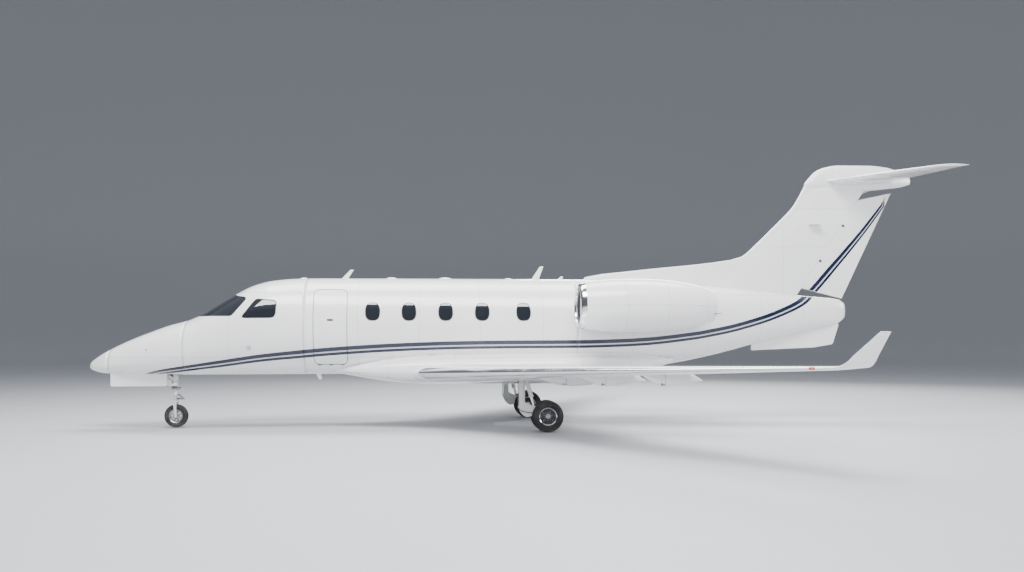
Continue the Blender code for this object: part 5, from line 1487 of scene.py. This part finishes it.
# %% Lining and window reveals
lining = hull("cabin_lining", 2.62, 8.79, 0.0905, 0.08)
carve(lining, hull("void", 2.5, 8.9, 0.0945, 0.16))
carve(lining, block("floor_room", (x_of(2.4), -1.4, 0.2), (x_of(9.0), 1.4, FLOOR_TOP + 0.012)))
for station in WINDOW_STATIONS:
    carve(lining, side_prism("p", grown(oval(station, WINDOW_HEIGHT, *WINDOW_HALF), -0.004)))
carve(lining, side_prism("door_room", grown(door_outline, 0.02), -1.3, -0.2))
for outline in (screen_outline, quarter_outline):
    carve(lining, side_prism("glass_room", grown(outline, 0.02)))
dress(lining, "cabin_trim")
reveal_layer = hull_layer("reveal_layer", 0.0165, 0.0915)
for tag, side in SIDES.items():
    near, far = span(side, 0.3, 1.3)
    for number, station in enumerate(WINDOW_STATIONS, start=1):
        outline = oval(station, WINDOW_HEIGHT, *WINDOW_HALF)
        from_layer(f"window_reveal_{number}_{tag}", reveal_layer, band(outline, -0.001, 0.007, near, far), "cabin_trim")
    from_layer(f"cockpit_reveal_{tag}", reveal_layer, band(quarter_outline, -0.001, 0.008, near, far), "cabin_trim")
bpy.data.objects.remove(reveal_layer)
LEDGE = [(0.690, 1.34), (1.10, 1.34), (1.10, 1.66), (0.705, 1.66), (0.690, 1.64)]
KEPT_NODES = {"cabin_floor": "cabin_carpet", "aft_bulkhead": "cabin_trim", "instrument_panel": "panel_plastic"}
for node, look in KEPT_NODES.items():
    thing = NODES[node]
    thing.data.materials.clear()
    thing.data.materials.append(FINISHES[look].material)
for tag, side in SIDES.items():
    for label, start, end in (("front", 4.86, 6.0), ("rear", 6.0, 7.52)):
        outline = [(side * a, b) for a, b in LEDGE]
        piece = prism(f"side_ledge_{label}_{tag}", outline, "X", x_of(start + 0.004), x_of(end))
        carve(piece, hull("shape", 4.6, 7.8, 0.0955, 0.1), "INTERSECT")
        soften(piece, 0.008, 2, 50)
        dress(piece, "cabin_trim")
    low, high = span(side, 0.30, 0.79)
    top = block(f"table_top_{tag}", (x_of(5.98), low, 1.640), (x_of(6.38), high, 1.664), 0.008, 3)
    dress(top, "veneer")
    low, high = span(side, 0.66, 0.74)
    dress(block(f"table_stay_{tag}", (x_of(6.10), low, 1.30), (x_of(6.26), high, 1.6395), 0.012, 3), "cabin_trim")

# %% [markdown]
# ### Seats
# A seat is a hard shell with arm rests, and on it a squab, a back rest and a head rest. The three cushions
# are simulated once in a standard size, then copied, scaled and turned into all six seats.

# %% Cushions
def puffed(name, size, voxel, limit, pressure):
    """A box of cloth, blown up; it swells by no more than the limit on any side."""
    half = Vector(size) / 2
    box = block(name, -half, half, min(size) * 0.30, 4)
    fine = box.modifiers.new("fine", "REMESH")
    fine.mode, fine.voxel_size = "VOXEL", voxel
    bpy.context.view_layer.update()
    graph = bpy.context.evaluated_depsgraph_get()
    box.data = bpy.data.meshes.new_from_object(box.evaluated_get(graph))
    box.modifiers.clear()
    before = np.array([v.co for v in box.data.vertices])
    cloth = box.modifiers.new("cloth", "CLOTH")
    cloth.settings.use_pressure, cloth.settings.uniform_pressure_force = True, pressure
    cloth.settings.effector_weights.gravity = 0
    cloth.settings.quality, cloth.settings.mass = 4, 0.3
    cloth.point_cache.frame_start, cloth.point_cache.frame_end = 1, 20
    for number in range(1, 21):
        bpy.context.scene.frame_set(number)
        graph = bpy.context.evaluated_depsgraph_get()
        box.evaluated_get(graph)
    mesh = bpy.data.meshes.new_from_object(box.evaluated_get(graph))
    bpy.context.scene.frame_set(1)
    box.modifiers.clear()
    box.data = mesh
    after = np.array([v.co for v in box.data.vertices])
    moved = after - before
    reach = np.linalg.norm(moved, axis=1, keepdims=True)
    after = before + moved * np.minimum(1, limit / np.maximum(reach, 1e-9))
    print(f"{name}: {len(before)} points, moved {float(reach.mean()) * 1000:.1f} mm on average, "
          f"{float(reach.max()) * 1000:.1f} mm at most")
    for vert, place in zip(box.data.vertices, after):
        vert.co = place
    return box


def piped(name, cushion, shares, depth, width):
    """Press seams into a cushion along lines across it, at shares of its width."""
    places = np.array([v.co for v in cushion.data.vertices])
    wide = places[:, 1].max()
    for share in shares:
        gap = np.abs(places[:, 1] - wide * share)
        places[:, 2] -= np.sign(places[:, 2]) * depth * np.exp(-(gap / width) ** 2)
    for vert, place in zip(cushion.data.vertices, places):
        vert.co = place
    cushion.name = name
    return cushion


CAP, PRESSURE = 0.024, 4          # how far a cushion may swell, and how hard it is blown up
squab = piped("squab_form", puffed("squab", (0.46, 0.44, 0.115), 0.008, CAP, PRESSURE), (-0.36, 0.36), 0.010, 0.008)
rest = piped("rest_form", puffed("rest", (0.56, 0.42, 0.100), 0.008, CAP, PRESSURE), (-0.40, 0.40), 0.010, 0.008)
pillow = puffed("pillow_form", (0.17, 0.30, 0.090), 0.007, CAP * 0.75, PRESSURE)


def seat(name, station, out, facing, width):
    """All pieces of one seat; along runs from its front edge backwards."""
    base = x_of(station if facing < 0 else station + 0.62)

    def put(form, label, along, up, tilt, factor=1.0):
        piece = copy_of(form, f"{name}_{label}")
        turn = Matrix.Rotation(radians(tilt) * facing, 4, "Y")
        spot = Matrix.Translation((base - facing * along, out, FLOOR_TOP + up))
        mirror = Matrix.Diagonal((-facing, width / 0.46 * factor, 1, 1))
        piece.data.transform(spot @ turn @ mirror)
        facing_out(piece)
        dress(piece, "seat_leather", degrees=180)
        return piece

    shell = [(0.10, 0.0), (0.40, 0.0), (0.42, 0.20), (0.58, 0.24), (0.735, 0.80), (0.715, 0.84), (0.68, 0.84),
             (0.50, 0.34), (0.06, 0.34), (0.03, 0.30), (0.06, 0.22)]
    outline = [(base - facing * a, FLOOR_TOP + 0.006 + b) for a, b in shell]
    half = width / 2
    frame_piece = soften(prism(f"{name}_shell", rounded(outline, 0.02, 3), "Y", out - half + 0.02, out + half - 0.02),
                         0.008, 2, 50)
    dress(frame_piece, "cabin_trim")
    squab_piece = put(squab, "squab", 0.245, 0.40, -4, 0.93)
    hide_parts(name)
    put(rest, "rest", 0.565, 0.655, 90 - 19, 0.93)
    put(pillow, "pillow", 0.648, 0.965, 90 - 14)
    if "pilot" not in name:
        rest_side = [(0.06, 0.50), (0.50, 0.50), (0.56, 0.58), (0.52, 0.60), (0.05, 0.60), (0.03, 0.56)]
        outline = rounded([(base - facing * a, FLOOR_TOP + b) for a, b in rest_side], 0.02, 3)
        for number, shift in enumerate((-half + 0.005, half - 0.045), start=1):
            arm = prism(f"{name}_arm_{number}", outline, "Y", out + shift, out + shift + 0.04)
            dress(soften(arm, 0.010, 3, 50), "seat_leather")


# station of the end nearer the nose, distance from the centre plane, facing (1 is aft) and width
SEATS = {"pilot_seat": (2.86, 0.33, -1, 0.42), "cabin_seat_front": (5.02, 0.45, 1, 0.46),
         "cabin_seat_rear": (6.72, 0.45, -1, 0.46)}
for name, (station, out, facing, width) in SEATS.items():
    for tag, side in SIDES.items():
        seat(f"{name}_{tag}", station, side * out, facing, width)
for form in (squab, rest, pillow):
    bpy.data.objects.remove(form)

# %% [markdown]
# ### Flight deck
# Through the windscreen: a glare shield over three blank screens, a pedestal with two thrust levers, and a
# yoke for each pilot.

# %% Flight deck
shield = prism("glare_shield", [(x_of(2.30), 1.94), (x_of(2.58), 1.925), (x_of(2.60), 1.945), (x_of(2.56), 1.965),
                                (x_of(2.32), 1.985)], "Y", -0.60, 0.60)
carve(shield, hull("shape", 2.1, 2.8, 0.0925, 0.05), "INTERSECT")
dress(soften(shield, 0.008, 3, 30), "panel_plastic")
for number, middle in enumerate((-0.36, 0.0, 0.36), start=1):
    dress(block(f"screen_bezel_{number}", (x_of(2.5205), middle - 0.165, 1.640), (x_of(2.532), middle + 0.165, 1.880),
                0.004), "panel_plastic")
    dress(block(f"screen_{number}", (x_of(2.5325), middle - 0.150, 1.655), (x_of(2.5345), middle + 0.150, 1.865)),
          "blank_screen")
dress(block("centre_pedestal", (x_of(2.5205), -0.115, 1.204), (x_of(2.98), 0.115, 1.60), 0.02, 3), "panel_plastic")
levers = []
for middle in (-0.035, 0.035):
    levers.append(rod("lever", (x_of(2.72), middle, 1.58), (x_of(2.745), middle, 1.69), 0.006))
    levers.append(block("knob", (x_of(2.73), middle - 0.022, 1.685), (x_of(2.765), middle + 0.022, 1.715), 0.008, 3))
dress(welded("thrust_levers", levers), "panel_plastic")
for tag, side in SIDES.items():
    y = side * 0.33
    shape = smooth_line([(y - 0.15, 1.70), (y - 0.155, 1.60), (y - 0.10, 1.555), (y, 1.575), (y + 0.10, 1.555),
                         (y + 0.155, 1.60), (y + 0.15, 1.70)], 6)
    yoke = [tube("horns", [(x_of(2.66), a, b) for a, b in shape], 0.014, sides=14),
            rod("column", (x_of(2.5205), y, 1.56), (x_of(2.665), y, 1.575), 0.018)]
    dress(welded(f"control_yoke_{tag}", yoke), "panel_plastic")
print("seat pieces:", count_of("cabin_seat", "pilot_seat"), "flight deck:", count_of("screen_", "yoke", "lever"))

# %% [markdown]
# ## Small outside parts
# Aerials, probes, wicks and lamps break up the smooth outline. Each sits in the skin that carries it.

# %% Aerials, probes and drains
LENSES = {"red": (0.55, 0.010, 0.008), "green": (0.010, 0.35, 0.06)}
for label, tint in LENSES.items():
    look = finish(f"lens_{label}", tint, roughness=0.08, coat_weight=1.0, coat_roughness=0.02)
    x, y, z, vector = look.place()
    ribs = ((x + y + z) * 520.0).sine()
    look.paint(base_color=look.mix(ribs.ramp(-1, 1), tint, tuple(c * 0.6 for c in tint)))
    look.bump(ribs * 0.0004, 1.0, 0.5)


def blade_aerial(name, outline, half=0.010):
    """A blade on the centre plane, thick in the middle and thin at its edges, from its foot to its top."""
    foot, top = outline[:2], outline[3:1:-1]
    rings = []
    for t in steps_between(0, 1, 0.1):
        a, b = (Vector(foot[i]).lerp(Vector(top[i]), t) for i in (0, 1))
        thick = half * (1 - 0.45 * t) * (1 if t < 0.95 else 0.6)
        rings.append([(x_of(a.x + (b.x - a.x) * (1 - cos(u)) / 2), thick * sin(u) * (1 - 0.35 * cos(u)),
                       a.y + (b.y - a.y) * (1 - cos(u)) / 2) for u in turns(28)])
    return loft(name, rings)


AERIALS = {"front": [(4.50, 2.735), (4.62, 2.735), (4.735, 2.918), (4.672, 2.918)],
           "rear": [(8.08, 2.745), (8.225, 2.745), (8.320, 3.008), (8.255, 3.008)],
           "small": [(8.58, 2.745), (8.67, 2.745), (8.70, 2.815), (8.655, 2.815)],
           "belly": [(4.03, 0.985), (4.135, 0.985), (4.145, 0.870), (4.095, 0.870)]}
for label, outline in AERIALS.items():
    dress(blade_aerial(f"aerial_{label}", outline), "white_paint")
PUCKS = [(3.823, 0.09, 0.022), (5.439, 0.12, 0.026), (6.439, 0.14, 0.028), (7.639, 0.08, 0.020)]
for number, (station, half, high) in enumerate(PUCKS, start=1):
    top = hull_values(station)[0]
    rings = [[(x_of(station) + half * t, 0.07 * sqrt(max(1 - t * t, 0.004)) * cos(a),
               top - 0.012 + (high + 0.012) * (1 - t * t) ** 0.7 * max(sin(a), -0.4))
              for a in turns(32)] for t in steps_between(-0.995, 0.995, 0.1)]
    dress(loft(f"aerial_puck_{number}", rings), "white_paint")
FIN_AERIAL = [(13.55, 3.858), (13.60, 3.8535), (13.79, 3.856), (13.79, 3.860), (13.60, 3.8625)]
dress(side_prism("fin_aerial", FIN_AERIAL, -0.24, 0.24), "white_paint")
VANE = [(0.002, 0.011), (0.020, 0.009), (0.032, 0.004), (0.034, 0.001)]
VANE_SPOT = (1.105, 1.43)
for tag, side in SIDES.items():
    station, height = VANE_SPOT
    spot = (x_of(station), side * side_reach(station, height), height)
    dress(turned(f"flow_vane_{tag}", [(side * a, r) for a, r in VANE], spot, "Y", 24), "dark_metal")
print("aerials and vanes:", count_of("aerial", "flow_vane"))

# %% [markdown]
# ### Flush plates
# Thin bare plates sit in the skin: the door's outer handle, the static ports and a service panel. Like the
# panes, they are cut out of a shell of the hull, so they follow its curve.

# %% Flush plates
# name: body, side, lower front corner and upper rear corner as (station, height)
PLATES = {"door_handle": ("cabin_door", -1, (4.315, 1.945), (4.425, 1.985)),
          "static_plate_l": ("airframe", -1, (2.90, 1.430), (2.98, 1.510)),
          "static_plate_r": ("airframe", 1, (2.90, 1.430), (2.98, 1.510)),
          "service_plate_r": ("airframe", 1, (7.30, 1.35), (7.44, 1.45))}
plate_layer = hull_layer("plate_layer", -0.0012, 0.003)
for name, (body, side, low, high) in PLATES.items():
    outline = rounded([low, (high[0], low[1]), high, (low[0], high[1])], 0.02)
    from_layer(name, plate_layer, side_prism("p", outline, *span(side, 0.3, 1.3)), "retainer_metal", body=body)
bpy.data.objects.remove(plate_layer)
print("plates:", list(PLATES))

# %% [markdown]
# ### The door's inside
# Four treads with rubber ribs between two strings, a rail on each string, the lever and the hinge knuckles.
# All of them move with the door. Treads and strings are cut to its inner curve.

# %% Door steps
# treads as (height, outer reach, inner reach), the rail and the strings as (y, z)
STEPS = [(1.450, 0.725, 0.570), (1.740, 0.800, 0.640), (2.030, 0.790, 0.630), (2.310, 0.710, 0.560)]
RAIL = [(-0.57, 1.42), (-0.535, 1.47), (-0.530, 1.60), (-0.575, 1.90), (-0.570, 2.10), (-0.520, 2.24),
        (-0.535, 2.30), (-0.56, 2.31)]
STRING = [(-0.90, 1.32), (-0.56, 1.32), (-0.548, 1.60), (-0.610, 1.90), (-0.600, 2.10), (-0.535, 2.38),
          (-0.90, 2.38)]
inside = hull("door_inside", COCKPIT_END - 0.2, CABIN_END, 0.0495, 0.1)
start, end = x_of(DOOR[0] + 0.10), x_of(DOOR[1] - 0.10)
for number, (height, outer, inner) in enumerate(STEPS, start=1):
    tread = block(f"door_tread_{number}", (start, -outer - 0.05, height - 0.012), (end, -inner, height + 0.010), 0.004)
    carve(tread, inside, "INTERSECT", keep_tool=True)
    dress(tread, "cabin_trim", "cabin_door")
    grip = [rod("rib", (start + 0.012, -inner - 0.018 - 0.022 * k, height + 0.0095),
                (end - 0.012, -inner - 0.018 - 0.022 * k, height + 0.0095), 0.0035, sides=8) for k in range(5)]
    dress(welded(f"door_grip_{number}", grip), "seal_rubber", "cabin_door")
for label, low in (("front", start - 0.0125), ("rear", end - 0.0005)):
    string = prism(f"door_string_{label}", rounded(STRING, 0.04), "X", low, low + 0.013)
    carve(string, inside, "INTERSECT", keep_tool=True)
    dress(soften(string, 0.002, 2, 50), "cabin_trim", "cabin_door")
    rail = smooth_line([(low + 0.0065, y, z) for y, z in RAIL], 6)
    dress(tube(f"door_rail_{label}", rail, 0.009, sides=14), "chrome", "cabin_door")
bpy.data.objects.remove(inside)
door_middle = x_of((DOOR[0] + DOOR[1]) / 2)
bow = smooth_line([(door_middle, -0.645, 1.885), (x_of(4.30), -0.640, 1.885), (x_of(4.25), -0.640, 1.870)], 5)
handle = [rod("boss", (door_middle, -0.80, 1.885), (door_middle, -0.63, 1.885), 0.022), tube("lever", bow, 0.009)]
dress(welded("door_lever", handle), "chrome", "cabin_door")
hinge = [rod("knuckle", (x_of(s), -0.574, 1.159), (x_of(s + 0.07), -0.574, 1.159), 0.012) for s in (4.13, 4.335, 4.54)]
dress(welded("door_hinge_knuckles", hinge), "steel", "cabin_door")
print("door pieces:", count_of("door_"))

# %% [markdown]
# ### Wing-tip lights and static wicks
# A red lens on the left and a green one on the right sit in the leading edge where it starts to bend up.
# Three wicks trail from each aileron and swing with it.

# %% Lights and wicks
TIP_LIGHT = 7.0                       # distance from the centre plane
WICKS = (5.05, 5.65, 6.25)
for tag, side in SIDES.items():
    out, leading, trailing, height = wing_row(TIP_LIGHT)
    rings = []
    for a in np.cos(np.linspace(pi - 0.05, 0.05, 15)):
        round_off = sqrt(1 - a * a)
        rings.append([(x_of(leading + 0.020 + 0.036 * a), side * out + 0.060 * round_off * cos(b),
                       height + 0.022 * round_off * sin(b)) for b in turns(32)])
    lens = loft(f"tip_light_{tag}", rings)
    dress(lens, "lens_red" if side < 0 else "lens_green")
    for number, out in enumerate(WICKS, start=1):
        _, leading, trailing, height = wing_row(out)
        foot, tip = (x_of(trailing - 0.02), side * out, height), (x_of(trailing + 0.11), side * out, height - 0.004)
        dress(rod(f"static_wick_{number}_{tag}", foot, tip, 0.003, 0.0015, 8), "seal_rubber", f"aileron_{tag}")
print("lights and wicks:", count_of("tip_light", "static_wick"))

# %% [markdown]
# ## Studio
# A pale round dish, curved up at its rim so that no horizon shows, a soft world and five large lamps give the
# paint something calm to reflect.

# %% Camera, light and floor
SENSOR, LENS, SHIFT_UP = 36, 32.61, 0.0465          # mm, mm and a share of the picture's width
CAMERA_SPOT, CAMERA_TURN = (-1.984, -17.603, 1.722), -6
DISH = [(0.5, 0.0), (34, 0.0), (46, 0.9), (58, 5.0), (66, 13.0), (72, 34.0), (74, 60.0)]    # (radius, height)
camera = bpy.data.objects.new("camera", bpy.data.cameras.new("camera"))
camera.data.sensor_width, camera.data.lens, camera.data.shift_y = SENSOR, LENS, SHIFT_UP
camera.location, camera.rotation_euler = CAMERA_SPOT, (radians(90), 0, radians(CAMERA_TURN))
bpy.context.scene.collection.objects.link(camera)
bpy.context.scene.camera = camera

rings = [[(r * cos(a), r * sin(a), h) for a in turns(96)] for r, h in smooth_line(DISH, 5)]
floor = loft("studio_floor", rings, caps=False)
shade(floor, 60)
ground = finish("studio_ground", (0.50, 0.51, 0.53), roughness=0.60)
floor.data.materials.append(ground.material)

world = bpy.data.worlds.new("studio")
bpy.context.scene.world = world
world.use_nodes = True
world.node_tree.nodes["Background"].inputs["Color"].default_value = (0.82, 0.88, 1.0, 1)
world.node_tree.nodes["Background"].inputs["Strength"].default_value = 0.42


def lamp(name, spot, aim, size, power, seen=True):
    """A soft box; one that isn't seen casts light but shows in no reflection."""
    light = bpy.data.objects.new(name, bpy.data.lights.new(name, "AREA"))
    light.data.shape, light.data.size, light.data.size_y = "RECTANGLE", *size
    light.data.energy, light.visible_glossy = power, seen
    light.location = spot
    light.rotation_euler = (Vector(aim) - Vector(spot)).to_track_quat("-Z", "Y").to_euler()
    bpy.context.scene.collection.objects.link(light)


lamp("key", (-3, -9, 15), (0, 0, 1.5), (16, 6), 5600)
lamp("fill", (-2, -22, 6), (0, 0, 1.5), (16, 6), 3200, seen=False)
lamp("top", (0, 3, 15), (0, 0, 0), (18, 6), 3600)
lamp("far", (8, 14, 9), (0, 0, 1.5), (14, 6), 2300)
lamp("tail", (16, -3, 6), (4, 0, 2), (6, 4), 900)
